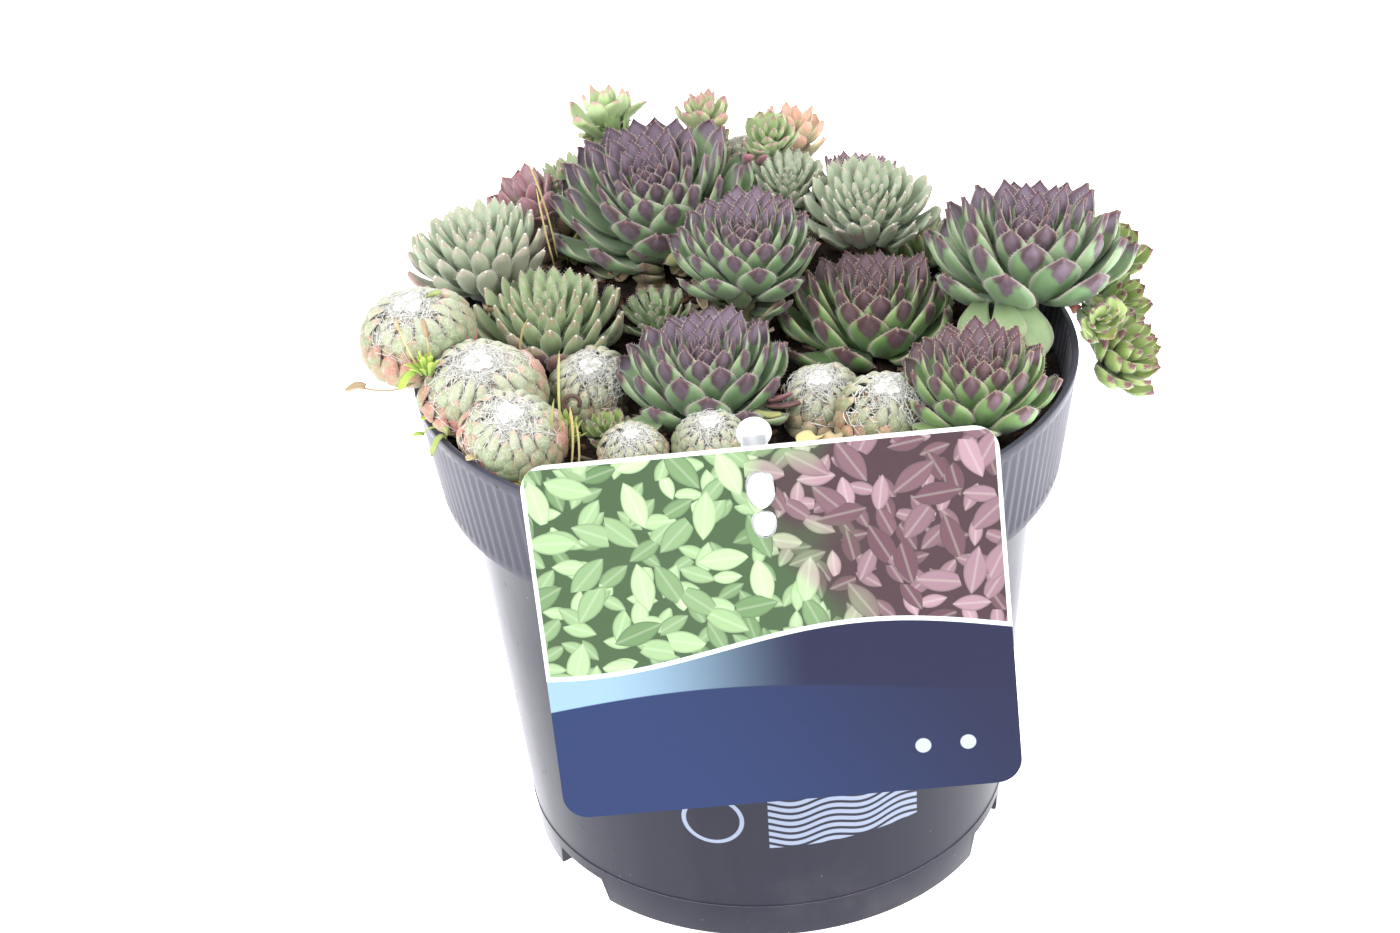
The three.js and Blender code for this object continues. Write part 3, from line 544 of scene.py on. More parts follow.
class Paint:
    """Makes one material's nodes."""

    def __init__(self, name):
        self.material = bpy.data.materials.new(name)
        self.material.use_nodes = True
        self.tree = self.material.node_tree
        self.tree.nodes.clear()

    def node(self, kind, settings=None, inputs=None, output=0):
        node = self.tree.nodes.new(kind)
        for key, value in (settings or {}).items():
            setattr(node, key, value)
        for key, value in (inputs or {}).items():
            socket = node.inputs[key]
            if isinstance(value, Value):
                self.tree.links.new(value.socket, socket)
            else:
                socket.default_value = value
        return Value(self, node.outputs[output])

    def stored(self, name):
        return self.node("ShaderNodeAttribute", {"attribute_name": name}, output="Fac")

    def place(self, axis=None):
        whole = self.node("ShaderNodeTexCoord", output="Object")
        if axis is None:
            return whole
        return self.node("ShaderNodeSeparateXYZ", inputs={"Vector": whole}, output=axis)

    def noise(self, scale, detail=2.0, roughness=0.5, where=None, stretch=None):
        where = where or self.place()
        if stretch:
            settings = {"operation": "MULTIPLY"}
            where = self.node("ShaderNodeVectorMath", settings, {0: where, 1: stretch})
        inputs = {"Vector": where, "Scale": scale, "Detail": detail, "Roughness": roughness}
        return self.node("ShaderNodeTexNoise", inputs=inputs, output="Fac")

    def cells(self, scale, feature="F1"):
        inputs = {"Vector": self.place(), "Scale": scale}
        return self.node("ShaderNodeTexVoronoi", {"feature": feature}, inputs, output="Distance")

    def mix(self, factor, low, high, blend="MIX"):
        settings = {"data_type": "RGBA", "blend_type": blend, "clamp_factor": True}
        return self.node("ShaderNodeMix", settings, {0: factor, 6: low, 7: high}, output=2)

    def bump(self, height, distance, strength):
        inputs = {"Height": height, "Distance": distance, "Strength": strength}
        return self.node("ShaderNodeBump", inputs=inputs, output="Normal")

    def finish(self, colour, roughness, normal=None, **constants):
        inputs = {"Base Color": colour, "Roughness": roughness}
        inputs.update({key.replace("_", " "): value for key, value in constants.items()})
        if normal:
            inputs["Normal"] = normal
        surface = self.node("ShaderNodeBsdfPrincipled", inputs=inputs)
        output = self.tree.nodes.new("ShaderNodeOutputMaterial")
        self.tree.links.new(surface.socket, output.inputs["Surface"])
        return self.material


# ---------------------------------------------------------------- materials


def felted(paint, colour, look, along, age, tone, mottle, fine):
    """A cobweb rosette's skin: its outer leaves blush in patches, and felted wool and threads lie over the
    young, with the pale cover also painted light that lifts the shade between them.
    """
    blush = along.ramp(0.2, 0.7) * age.ramp(0.25, 0.6) * (tone + (mottle - 0.5) * 1.6).ramp(-0.25, 0.35)
    colour = paint.mix(blush * 0.9, colour, look["old"])
    # Pale felted wool over the young leaves: partly their real cover, partly painted light over the shaded
    # gaps between them.
    felt_and_painted_light = (age + (fine - 0.5) * 0.5).ramp(0.42, 0.05) * 0.6
    colour = paint.mix(felt_and_painted_light, colour, srgb(186, 187, 168))
    thread = paint.cells(900, feature="DISTANCE_TO_EDGE").ramp(0.035, 0.0)
    thread = thread.most(paint.cells(640, feature="DISTANCE_TO_EDGE").ramp(0.028, 0.0))
    return paint.mix(thread * age.ramp(1.1, 0.4) * 0.5, colour, srgb(212, 210, 196))


def leaf_material(look_name):
    """A fleshy leaf, painted along and across by the values stored at its points."""
    look = LOOKS[look_name]
    paint = Paint(f"leaf_{look_name}")
    along, across, face = paint.stored("along"), abs(paint.stored("across")), paint.stored("face")
    age, tone, hair = paint.stored("age"), paint.stored("tone"), paint.stored("hair")
    mottle, fine = paint.noise(450, 3), paint.noise(2400, 2)
    inner = face.ramp(-0.3, 0.5)
    lightness = along.ramp(0.2, 0.9) * 0.7 + (mottle - 0.5) * 0.6 + tone * 0.3
    flesh = paint.mix(lightness, look["deep"], look["light"])
    back = age.ramp(0.5, 0.85) * (1 - inner) * along.ramp(0.3, 0.75)
    flesh = paint.mix(back * (tone * 1.2 + 0.5), flesh, look["back"])
    # The tip's colour runs down the keel to a point, and covers more of a young leaf.
    begin = look["reach"] - age.ramp(0.5, 0.0) * look["young"] + age.ramp(0.6, 1.0) * 0.1
    begin = (begin + across * (0.24 - inner * 0.18)).maths("MINIMUM", 0.9)
    begin = begin + (mottle - 0.5) * 0.08 - tone * 0.07
    patch = (along - begin - inner * 0.03).ramp(-0.025, 0.035)
    dusted = inner * 0.5 + (mottle - 0.5) * 1.1 + 0.45 - across.ramp(0.2, 0.75) * 0.55
    dyed = paint.mix(dusted, look["tip"], look["bloom"])
    colour = paint.mix(patch * 0.93, flesh, dyed)
    margin = across.ramp(0.86, 0.99) * along.ramp(0.3, 0.6)
    colour = paint.mix(margin * 0.6, colour, look["edge"])
    colour = paint.mix((along + (fine - 0.5) * 0.01).ramp(0.98, 0.996) * 0.8, colour, look["point"])
    spent = age.ramp(0.8, 0.95) * tone.ramp(0.41, 0.44) * along.ramp(0.5, 0.85)
    colour = paint.mix(spent * 0.7, colour, look["old"])
    if look["slot"] == "cobweb_leaf":
        colour = felted(paint, colour, look, along, age, tone, mottle, fine)
    dry = paint.mix(fine, srgb(134, 104, 78), srgb(206, 178, 146))
    colour = paint.mix(paint.stored("dry"), colour, dry)
    colour = paint.mix(hair * 0.85, colour, srgb(214, 202, 198))
    # Painted shade: each leaf is darkened towards its root, where the rosette shades it, and so are the cores
    # and stems stored near the root; hairs are left out.
    colour = paint.mix(along.ramp(0.5, 0.0) * (1 - hair) * 0.5, colour, srgb(84, 96, 62), "MULTIPLY")
    normal = paint.bump(mottle * 0.5 + fine * 0.3, 0.0002, 0.45)
    roughness = 0.44 + fine * 0.16 + inner * 0.08
    constants = {"Subsurface_Weight": 0.12, "Subsurface_Scale": 0.0015, "Specular_IOR_Level": 0.35}
    return paint.finish(colour, roughness, normal, Sheen_Weight=0.2, Sheen_Roughness=0.45, **constants)


def wool_material():
    paint = Paint("cobweb_wool")
    shade = paint.noise(1500, 3)
    colour = paint.mix(shade, srgb(218, 217, 211), srgb(238, 238, 235))
    return paint.finish(colour, 0.85 + shade * 0.1, Sheen_Weight=0.3, Sheen_Roughness=0.5)


# The middle of the ring that is printed on the pot and its radius, and the panel's middle and half sizes.
RING_PRINT = (-12.3, 31, 5.6)
PANEL_PRINT = (13.2, 32, 14.8, 8.1)


def pot_print(paint, height):
    """Where a ring and a waved panel are printed on the pot's front."""
    x, y = paint.place("X") / MM, paint.place("Y") / MM
    ring_x, ring_height, ring_radius = RING_PRINT
    panel_x, panel_height, half_width, half_height = PANEL_PRINT
    ring = abs(((x - ring_x) ** 2 + (height - ring_height) ** 2) ** 0.5 - ring_radius).ramp(0.5, 0.35)
    panel = (abs(x - panel_x) - half_width).ramp(0.1, -0.1)
    panel = panel * (abs(height - panel_height) - half_height).ramp(0.1, -0.1)
    waves = abs((height + (x * 0.45).maths("SINE") * 0.8).maths("PINGPONG", 1.7) - 0.85).ramp(0.25, 0.45)
    return ring.most(panel * waves) * y.ramp(-30, -32)


def pot_material(colour):
    """Dark moulded plastic with fine upright drag marks, a dusty bloom, crumbs and a plain pale print, and a
    painted highlight on the collar.
    """
    paint = Paint("pot_plastic")
    drag = paint.noise(160, 3, 0.6, stretch=(1, 1, 0.06))
    dust = paint.noise(60, 4, 0.6)
    specks = paint.cells(330).ramp(0.2, 0.1) * paint.noise(90, 2).ramp(0.6, 0.7)
    flecks = paint.cells(420).ramp(0.07, 0.04) * paint.noise(70, 2).ramp(0.5, 0.6)
    height = paint.place("Z") / MM
    shade = paint.mix(drag * 0.5 + dust * 0.4, colour, srgb(46, 46, 60))
    shade = paint.mix((1 - height.ramp(0, 26)) * dust.ramp(0.5, 0.75) * 0.05, shade, srgb(150, 144, 138))
    # Painted highlight: the collar is painted lighter, streaked by the drag marks, for the light that its
    # flutes catch.
    collar = height.ramp(COLLAR_FOOT - 0.5, COLLAR_FOOT + 0.5)
    shade = paint.mix(collar * (0.7 + drag * 0.3), shade, srgb(66, 66, 78))
    shade = paint.mix(specks * 0.8, shade, srgb(66, 52, 44))
    shade = paint.mix(flecks * 0.7, shade, srgb(150, 146, 142))
    shade = paint.mix(pot_print(paint, height) * 0.85, shade, srgb(146, 156, 178))
    roughness = 0.24 + drag * 0.1 + dust * 0.14 + specks * 0.3
    normal = paint.bump(drag * 0.6 + specks, 0.00012, 0.4)
    sheen = {"Sheen_Weight": 0.5, "Sheen_Roughness": 0.24, "Sheen_Tint": (0.9, 0.88, 1, 1)}
    return paint.finish(shade, roughness, normal, Specular_IOR_Level=0.14, **sheen)


def soil_material():
    paint = Paint("potting_soil")
    clumps = paint.noise(320, 4, 0.6)
    grains = paint.noise(1800, 3, 0.6)
    colour = paint.mix(clumps.ramp(0.35, 0.7), srgb(30, 24, 22), srgb(66, 52, 44))
    colour = paint.mix(grains.ramp(0.62, 0.72) * 0.6, colour, srgb(116, 92, 74))
    normal = paint.bump(clumps + grains * 0.5, 0.0008, 0.9)
    return paint.finish(colour, 0.9 + grains * 0.08, normal, Specular_IOR_Level=0.25)


def bark_material():
    """Chips of bark, crumbs and grit, each with its own tone."""
    paint = Paint("bark_chips")
    tone = paint.stored("tone")
    grain = paint.noise(1400, 3, 0.6)
    wood = paint.mix(tone.ramp(0.0, 0.55), srgb(46, 34, 28), srgb(122, 84, 58))
    wood = paint.mix(tone.ramp(0.8, 0.92), wood, srgb(188, 170, 150))
    wood = paint.mix(grain * 0.45, wood, srgb(58, 42, 34))
    normal = paint.bump(grain, 0.0003, 0.7)
    return paint.finish(wood, 0.8 + grain * 0.15, normal)


def stone_material():
    paint = Paint("gravel")
    veins = paint.noise(700, 4, 0.6)
    colour = paint.mix(veins, srgb(168, 146, 138), srgb(222, 208, 200))
    colour = paint.mix(paint.noise(2400, 2).ramp(0.62, 0.7), colour, srgb(120, 100, 92))
    return paint.finish(colour, 0.6 + veins * 0.25, paint.bump(veins, 0.0002, 0.6))


def sprig_material():
    """Loose leaves, weeds and grass, from fresh green over straw and brown to pink as tone rises."""
    paint = Paint("weeds_and_litter")
    along, tone = paint.stored("along"), paint.stored("tone")
    grain = paint.noise(900)
    tone = tone + (grain - 0.5) * 0.06
    colour = paint.mix(along * 0.7 + grain * 0.4, srgb(112, 148, 60), srgb(182, 204, 92))
    colour = paint.mix(tone.ramp(0.12, 0.32), colour, srgb(150, 164, 96))
    colour = paint.mix(tone.ramp(0.34, 0.5), colour, srgb(204, 188, 128))
    colour = paint.mix(tone.ramp(0.54, 0.66), colour, srgb(164, 140, 108))
    colour = paint.mix(tone.ramp(0.68, 0.78), colour, srgb(92, 66, 60))
    colour = paint.mix(tone.ramp(0.82, 0.88), colour, srgb(150, 104, 112))
    pink = paint.mix(along, srgb(206, 178, 150), srgb(194, 96, 92))
    colour = paint.mix(tone.ramp(0.89, 0.96), colour, pink)
    roughness = 0.5 + paint.noise(1600) * 0.2
    return paint.finish(colour, roughness, paint.bump(grain, 0.0002, 0.5), Sheen_Weight=0.1)


def stake_material():
    paint = Paint("stake_plastic")
    cloud = paint.noise(120, 2)
    colour = paint.mix(cloud, srgb(232, 234, 238), srgb(250, 251, 252))
    return paint.finish(colour, 0.28 + cloud * 0.14, paint.bump(paint.noise(500, 2), 0.00006, 0.3))


# ---------------------------------------------------------------- the ground and the room of each rosette


def soil_height(x, y):
    across = (x - MOUND_CENTRE[0]) / MOUND_SPREAD[0]
    along = (y - MOUND_CENTRE[1]) / MOUND_SPREAD[1]
    return RIM_HEIGHT - SOIL_BELOW_RIM + MOUND_RISE * np.exp(-(across**2 + along**2) / 2)


class Plant:
    """One rosette's place, turn and form."""

    def __init__(self, name, form, look, at, radius, leaves, lean):
        self.name, self.form, self.look, self.radius, self.leaves = name, form, look, radius, leaves
        self.centre = np.array((at[0], at[1], RIM_HEIGHT + at[2]), float)
        self.axis = Vector((lean[0], lean[1], 1)).normalized()
        self.turn = np.array(Vector((0, 0, 1)).rotation_difference(self.axis).to_matrix())
        self.claim = FORMS[form]["spread"] * radius
        self.lift = RIM_LIFT.get(name, 0.0)

    def to_world(self, points):
        return np.asarray(points) @ self.turn.T + self.centre

    def lowest(self):
        """How low it may reach, in its radii, measured from its middle."""
        x, y, z = self.centre
        if math.hypot(x, y) > RIM_RADIUS and z < RIM_HEIGHT + OVER_RIM:
            return -1.0
        rim = RIM_HEIGHT + self.lift if math.hypot(x, y) > STEM_REACH and z > RIM_HEIGHT else 0
        return (max(soil_height(x, y), rim) + SOIL_CLEARANCE - z) / self.radius


def parting_plane(plant, other):
    toward = other.centre - plant.centre
    distance = np.linalg.norm(toward)
    toward /= distance
    share = (distance**2 + plant.claim**2 - other.claim**2) / (2 * distance)
    return -toward, toward @ plant.centre + share - LEAF_GAP / 2


# How steeply the leaves clear the rim, in degrees, by how far above it the rosette's middle is.
INSIDE_SLANT = 12
HALF_UP, HALF_UP_SLANT = 1.5, 50
WELL_UP, WELL_UP_SLANT = 7, 90
RIM_CLEARANCE = 0.4
RIM_BEARINGS = range(-36, 37, 12)


def rim_planes(plant):
    """Planes that keep a rosette inside or above the rim."""
    x, y, z = plant.centre
    slant = INSIDE_SLANT
    if z > RIM_HEIGHT + HALF_UP:
        slant = HALF_UP_SLANT
    if z > RIM_HEIGHT + WELL_UP and math.hypot(x, y) > STEM_REACH:
        slant = WELL_UP_SLANT
    lift, inward = math.sin(math.radians(slant)), math.cos(math.radians(slant))
    planes = []
    for bearing in RIM_BEARINGS:
        angle = math.atan2(y, x) + math.radians(bearing)
        normal = np.array((-inward * math.cos(angle), -inward * math.sin(angle), lift))
        planes.append((normal, inward * INNER_RIM - lift * RIM_HEIGHT - RIM_CLEARANCE - plant.lift))
    return planes


def neighbour_planes(plant):
    def is_near(other):
        return np.linalg.norm(other.centre - plant.centre) < NEIGHBOUR_REACH * (other.radius + plant.radius)

    return [parting_plane(plant, other) for other in EVERY_PLANT if other is not plant and is_near(other)]


def bend_clear(points, rings, planes):
    """Moves each ring of each leaf until it is clear of the soil and on the near side of the planes."""
    members = [np.nonzero(rings == ring)[0] for ring in range(rings.max() + 1)]
    for _ in range(CLEARING_ROUNDS):
        for normal, offset in planes:
            distance = points @ normal + offset
            for ring in members[2:]:
                depth = np.maximum(-distance[:, ring].min(1), 0)
                points[:, ring] += depth[:, None, None] * normal
        ground = soil_height(points[..., 0], points[..., 1]) + SOIL_CLEARANCE - points[..., 2]
        inside = np.hypot(points[..., 0], points[..., 1]) < RIM_RADIUS
        for ring in members[1:]:
            sunk = np.where(inside[:, ring].all(1), np.maximum(ground[:, ring].max(1), 0), 0)
            points[:, ring, 2] += sunk[:, None]
    return points


# ---------------------------------------------------------------- leaves and rosettes
# A spine gives the root, bend and tip of leaves whose share of a rosette's radius is t, from 0 for the
# youngest to 1 for the oldest: how far out and how far up, in the rosette's radii.


def towards(start, end, out_share, up_share):
    return start + (end - start) * np.array((out_share, up_share))


def cup_spine(t):
    tip = np.stack((0.03 + 0.98 * t**0.96, 0.58 * (1 - t**3.6) - 0.17 * (1 - t) ** 2.5), -1)
    root = np.stack((0.04 + 0.14 * t, 0.1 - 0.62 * t), -1)
    return root, towards(root, tip, 0.66, 0.28), tip


def tuft_spine(t):
    tip = np.stack((0.03 + 0.99 * t**0.7, 0.55 * (1 - t**2.6) - 0.2 * (1 - t) ** 2.5), -1)
    root = np.stack((0.04 + 0.12 * t, 0.1 - 0.6 * t), -1)
    return root, towards(root, tip, 0.75, 0.2), tip


def star_spine(t):
    tip = np.stack((0.15 + 0.87 * t**0.8, 0.72 - 0.62 * t**1.6), -1)
    root = np.stack((0.04 + 0.1 * t, 0.1 - 0.6 * t), -1)
    return root, towards(root, tip, 0.85, 0.2), tip


def ball_spine(t):
    angle = np.radians(12 + 70 * t**0.75)

    def on_ball(turn, out):
        return np.stack((out * np.sin(angle + turn), out * BALL_HEIGHT * np.cos(angle + turn)), -1)

    return on_ball(1.1, 0.5), on_ball(0.5, 1.34), on_ball(0, 0.98)


SPINES = {"cup": cup_spine, "tuft": tuft_spine, "star": star_spine, "ball": ball_spine}


def model_leaf(form):
    """One upright leaf, modelled from a circle: X across it, Y through it, Z from its root to its tip."""
    shape = FORMS[form]
    sizes = list(zip(shape["rings"], shape["widths"], shape["depths"]))
    deselect()
    bpy.ops.mesh.primitive_circle_add(vertices=LEAF_SIDES, radius=1, fill_type="NGON")
    leaf = start_piece(f"leaf_{form}")
    start_edit()
    bpy.ops.transform.resize(value=(sizes[0][1], sizes[0][2], 1), center_override=(0, 0, 0))
    for (low, width, depth), (high, next_width, next_depth) in zip(sizes, sizes[1:]):
        bpy.ops.mesh.extrude_region_move(TRANSFORM_OT_translate={"value": (0, 0, high - low)})
        scale = (next_width / width, next_depth / depth, 1)
        bpy.ops.transform.resize(value=scale, center_override=(0, 0, high))
    end_edit()
    points = points_of(leaf)
    faces = [tuple(face.vertices) for face in leaf.data.polygons]
    bpy.data.objects.remove(leaf)
    return LeafForm(form, points, faces)


class LeafForm:
    """A modelled leaf, ready to be set on the spines of a rosette."""

    def __init__(self, form, points, faces):
        shape = FORMS[form]
        self.form, self.faces = form, faces
        self.x, y, self.along = points.T
        self.levels = np.array(shape["rings"])
        self.rings = np.abs(self.along[:, None] - self.levels).argmin(1)
        self.across = self.x / np.array(shape["widths"])[self.rings]
        self.face = y / np.array(shape["depths"])[self.rings]
        self.through = y * np.where(y > 0, UPPER_SHARE, 1 - UPPER_SHARE)
        self.triangles = np.array([(face[0], b, c) for face in faces for b, c in zip(face[1:], face[2:])])

    def margin(self, side):
        """The points along one edge of the leaf, from its root to its tip."""
        on_edge = np.nonzero(np.abs(self.across - side) < 0.01)[0]
        return on_edge[np.argsort(self.rings[on_edge])]

    def is_turned(self, points):
        """Whether its neighbours have pressed a leaf inside out."""
        a, b, c = (points - points.mean(0))[self.triangles].transpose(1, 0, 2)
        return (a * np.cross(b, c)).sum() < 0

    def laid(self, plant, ages, bearings, reaches, sizes, tilts=0.0):
        """Leaves of a rosette, bent along its spines, in the solid model's place."""
        shape = FORMS[self.form]
        root, bend, tip = SPINES[self.form](ages)
        root[:, 1] = np.maximum(root[:, 1], plant.lowest() + 0.02)
        spine, slope = curve(self.along[None, :, None], root[:, None], bend[:, None], tip[:, None])
        narrow = shape["inner"] + (1 - shape["inner"]) * ages
        half = (sizes * narrow * shape["width"] / 2)[:, None]
        through = self.through * np.maximum(sizes * shape["depth"], THINNEST_LEAF)[:, None]
        through = through + shape["curl"] * half * self.across**2 * (0.3 + self.along)
        through = through + tilts * self.x * half
        # The upper face looks inwards and up, at right angles to the spine.
        out = spine[..., 0] * reaches[:, None] - slope[..., 1] * through
        rise = spine[..., 1] * reaches[:, None] + slope[..., 0] * through
        side = self.x * half
        cos, sin = np.cos(bearings)[:, None], np.sin(bearings)[:, None]
        local = np.stack((out * cos - side * sin, out * sin + side * cos, rise), -1)
        return plant.to_world(local)


EVEN_STEPS = (0.754878, 0.569840)       # one over the plastic number, and over its square


def scatter(leaf, kind):
    """An even scatter from -0.5 to 0.5, by the leaf's number and by what it is used for."""
    value = leaf * EVEN_STEPS[0] + kind * EVEN_STEPS[1]
    return value - np.floor(value) - 0.5


def single_leaf(leaf, root, bend, tip, width, depth=0.7, cup=0.15):
    """One leaf from its root over its bend to its tip, with its upper face turned up."""
    spine, slope = curve(leaf.along[:, None], *from_rim(root, bend, tip))
    side = unit(np.cross((0.05, 0.1, 1), slope[0] + slope[-1]))
    upper = unit(np.cross(slope, side))
    through = leaf.through * depth + cup * width * leaf.across**2
    return spine + side * (leaf.x * width / 2)[:, None] + upper * through[:, None]


LEAF_KEYS = ("along", "across", "face", "age", "tone", "dry", "hair")
YOUNG_SIZE = 0.3                # of the youngest leaf, in the size of the oldest
BEARING_SCATTER = 0.2
REACH_SCATTER = 0.14
SIZE_SCATTER = 0.16
TILT_SCATTER = 0.3


def add_leaves(shape, plant, leaf, planes):
    number = np.arange(plant.leaves)
    ages = (number + 0.5) / plant.leaves
    bearings = number * GOLDEN_ANGLE + BEARING_SCATTER * scatter(number, 1) + plant.centre[0]
    reaches = plant.radius * (1 + REACH_SCATTER * scatter(number, 2))
    grown = YOUNG_SIZE + (1 - YOUNG_SIZE) * ages**0.7
    sizes = plant.radius * grown * (1 + SIZE_SCATTER * scatter(number, 3))
    tilts = (TILT_SCATTER * scatter(number, 4))[:, None]
    points = leaf.laid(plant, ages, bearings, reaches, sizes, tilts)
    points = bend_clear(points, leaf.rings, planes)
    for place, age, tone in zip(points, ages, scatter(number, 5)):
        shape.add_leaf(leaf, place, age=age, tone=tone)
    return points, ages


# Hairs on each side of a leaf, where they begin, and their length and thickness.
FRINGES = {"cup": (15, 0.4, 0.5, 0.075), "tuft": (6, 0.78, 0.6, 0.08), "star": (10, 0.45, 0.4, 0.07)}
FRINGE_END = 0.985
HAIR_ROOT = 0.05
HAIR_SWEEP = 0.8                # how far a hair leans towards its leaf's tip
YOUNG_HAIR = 0.6                # of a hair on the youngest leaf, in the length of one on the oldest
HAIR_FACES = ((0, 2, 1), (0, 1, 3), (1, 2, 3), (2, 0, 3))


def add_fringe(shape, leaf, points, ages):
    """Short pale hairs along the leaves' margins."""
    if leaf.form not in FRINGES:
        return
    count, first, length, thickness = FRINGES[leaf.form]
    spots = first + (FRINGE_END - first) * (np.arange(count) + 0.5) / count
    ring = np.searchsorted(leaf.levels, spots) - 1
    share = ((spots - leaf.levels[ring]) / (leaf.levels[ring + 1] - leaf.levels[ring]))[:, None]
    edges = [points[:, leaf.margin(side)] for side in (-1, 1)]
    middle = (edges[0] + edges[1]) / 2
    centre = middle[:, ring] * (1 - share) + middle[:, ring + 1] * share
    forward = unit(middle[:, ring + 1] - middle[:, ring])
    for edge in edges:
        base = edge[:, ring] * (1 - share) + edge[:, ring + 1] * share
        out = unit(base - centre)
        over = np.cross(forward, out)
        root = base - out * HAIR_ROOT
        grown = YOUNG_HAIR + (1 - YOUNG_HAIR) * ages[:, None, None]
        tip = base + (out + forward * HAIR_SWEEP) * length * grown
        corners = (root + forward * thickness, root - forward * thickness, base + over * thickness, tip)
        hairs = np.stack(corners, 2).reshape(-1, 3)
        starts = range(0, len(hairs), len(corners))
        faces = [tuple(start + corner for corner in face) for start in starts for face in HAIR_FACES]
        shape.add(hairs, faces, along=0.9, age=0.5, hair=1.0)


# Where each layer of a chick's older leaves stands down its stem, and how many there are to a layer.
SKIRT_LAYERS = (0.14, 0.27, 0.4, 0.53, 0.66)
SKIRT_LEAVES = 7
SKIRT_RADIUS = 0.8              # of the top layer, in the chick's radii
SKIRT_TAPER = 0.06              # how much smaller each layer is than the one above
SKIRT_TURN = 0.9                # from layer to layer
SKIRT_YOUNGEST = 0.72
SKIRT_DRYING = 0.16             # from layer to layer


def add_skirt(shape, plant, leaf, planes):
    """Older leaves down the stem of a chick that stands above its neighbours."""
    path = stem_path(plant)
    number = np.arange(SKIRT_LEAVES)
    for layer, share in enumerate(SKIRT_LAYERS):
        lower = copy.copy(plant)
        lower.centre = path[0] + (path[-1] - path[0]) * share
        lower.radius = plant.radius * (SKIRT_RADIUS - SKIRT_TAPER * layer)
        bearings = number * 2 * math.pi / SKIRT_LEAVES + layer * SKIRT_TURN
        ages = SKIRT_YOUNGEST + (1 - SKIRT_YOUNGEST) * (scatter(number + layer * SKIRT_LEAVES, 6) + 0.5)
        sizes = lower.radius * (0.85 + 0.2 * scatter(number, 7))
        points = leaf.laid(lower, ages, bearings, np.full(SKIRT_LEAVES, lower.radius), sizes)
        points = bend_clear(points, leaf.rings, planes)
        dryness = SKIRT_DRYING * layer + 0.4 * (scatter(number + layer * SKIRT_LEAVES, 8) + 0.5)
        for place, tone, dry in zip(points, scatter(number, 9), np.minimum(dryness, 1)):
            if not leaf.is_turned(place):
                shape.add_leaf(leaf, place, age=0.9, tone=tone, dry=dry)


def add_tube(shape, path, radii, sides, **values):
    """A round stem along a path of points, closed at both ends."""
    path = np.asarray(path, float)
    tangents = np.gradient(path, axis=0)
    angles = np.arange(sides) * 2 * math.pi / sides
    circle = np.stack((np.cos(angles), np.sin(angles), np.zeros(sides)), -1)
    rows = []
    for place, tangent, radius in zip(path, tangents, np.broadcast_to(radii, len(path))):
        turn = np.array(Vector((0, 0, 1)).rotation_difference(Vector(tangent)).to_matrix())
        rows.append(circle * radius @ turn.T + place)
    last = (len(rows) - 1) * sides
    faces = [tuple(reversed(range(sides))), tuple(range(last, last + sides))]
    for row in range(0, last, sides):
        for side in range(sides):
            a, b = row + side, row + (side + 1) % sides
            faces.append((a, b, b + sides, a + sides))
    shape.add(np.concatenate(rows), faces, **values)


# Places up a core, with its share of the radius there.
CORE_ROWS = ((0.0, 0.55), (0.4, 1), (0.8, 0.6), (1, 0.05))
BALL_ROWS = ((0.0, 0.6), (0.25, 0.95), (0.5, 1), (0.72, 0.86), (0.9, 0.56), (0.97, 0.3), (1, 0.04))
CORE_SIDES = 10
STEM_SIDES = 8
STEM_STEPS = 7


def add_core(shape, plant):
    """The short stem in the middle that the leaves stand out of."""
    is_ball = plant.form == "ball"
    radius, top, foot = CORES[plant.form]
    foot = max(foot, plant.lowest())
    heights, shares = np.array(BALL_ROWS if is_ball else CORE_ROWS).T
    local = np.zeros((len(heights), 3))
    local[:, 2] = (foot + (top - foot) * heights) * plant.radius
    # A ball's core is stored far along, out of the painted shade at the leaves' roots; the other cores are
    # stored at the root and take that painted shade.
    along = 0.7 if is_ball else 0.05
    add_tube(shape, plant.to_world(local), radius * plant.radius * shares, CORE_SIDES, along=along, age=0.5)


def foot_below(x, y):
    """Where a stem ends in the soil, below a place and inside the pot's wall."""
    pull = min(1, STEM_REACH / math.hypot(x, y))
    return np.array((x * pull, y * pull, soil_height(x * pull, y * pull) - STEM_DEPTH))


def stem_path(plant):
    foot = foot_below(*plant.centre[:2])
    if plant.name in STEM_FEET:
        foot = from_rim(STEM_FEET[plant.name])[0]
    start = plant.centre - 0.15 * plant.radius * np.array(plant.axis)
    share = np.linspace(0, 1, STEM_STEPS)[:, None]
    return start + (foot - start) * share


def add_stem(shape, plant):
    thick = max(0.9, (0.18 if plant.form == "star" else 0.11) * plant.radius)
    add_tube(shape, stem_path(plant), thick, STEM_SIDES, along=0.1, age=0.9, dry=0.55)


HEN_PLANTS = [Plant(*row) for row in HENS]
COBWEB_PLANTS = [Plant(name, "ball", *row) for name, *row in COBWEBS]
CHICK_PLANTS = [Plant(name, "star", *row) for name, *row in CHICKS]
BRANCH_PLANTS = [Plant(BRANCH_NODE, "star", BRANCH_LOOK, *row) for row in BRANCH_CHICKS]
EVERY_PLANT = HEN_PLANTS + COBWEB_PLANTS + CHICK_PLANTS + BRANCH_PLANTS
LEAVES = {}
MATERIALS = {}


def shared_leaf(form):
    if form not in LEAVES:
        LEAVES[form] = model_leaf(form)
    return LEAVES[form]


def shared_material(look):
    if look not in MATERIALS:
        MATERIALS[look] = leaf_material(look)
    return MATERIALS[look]


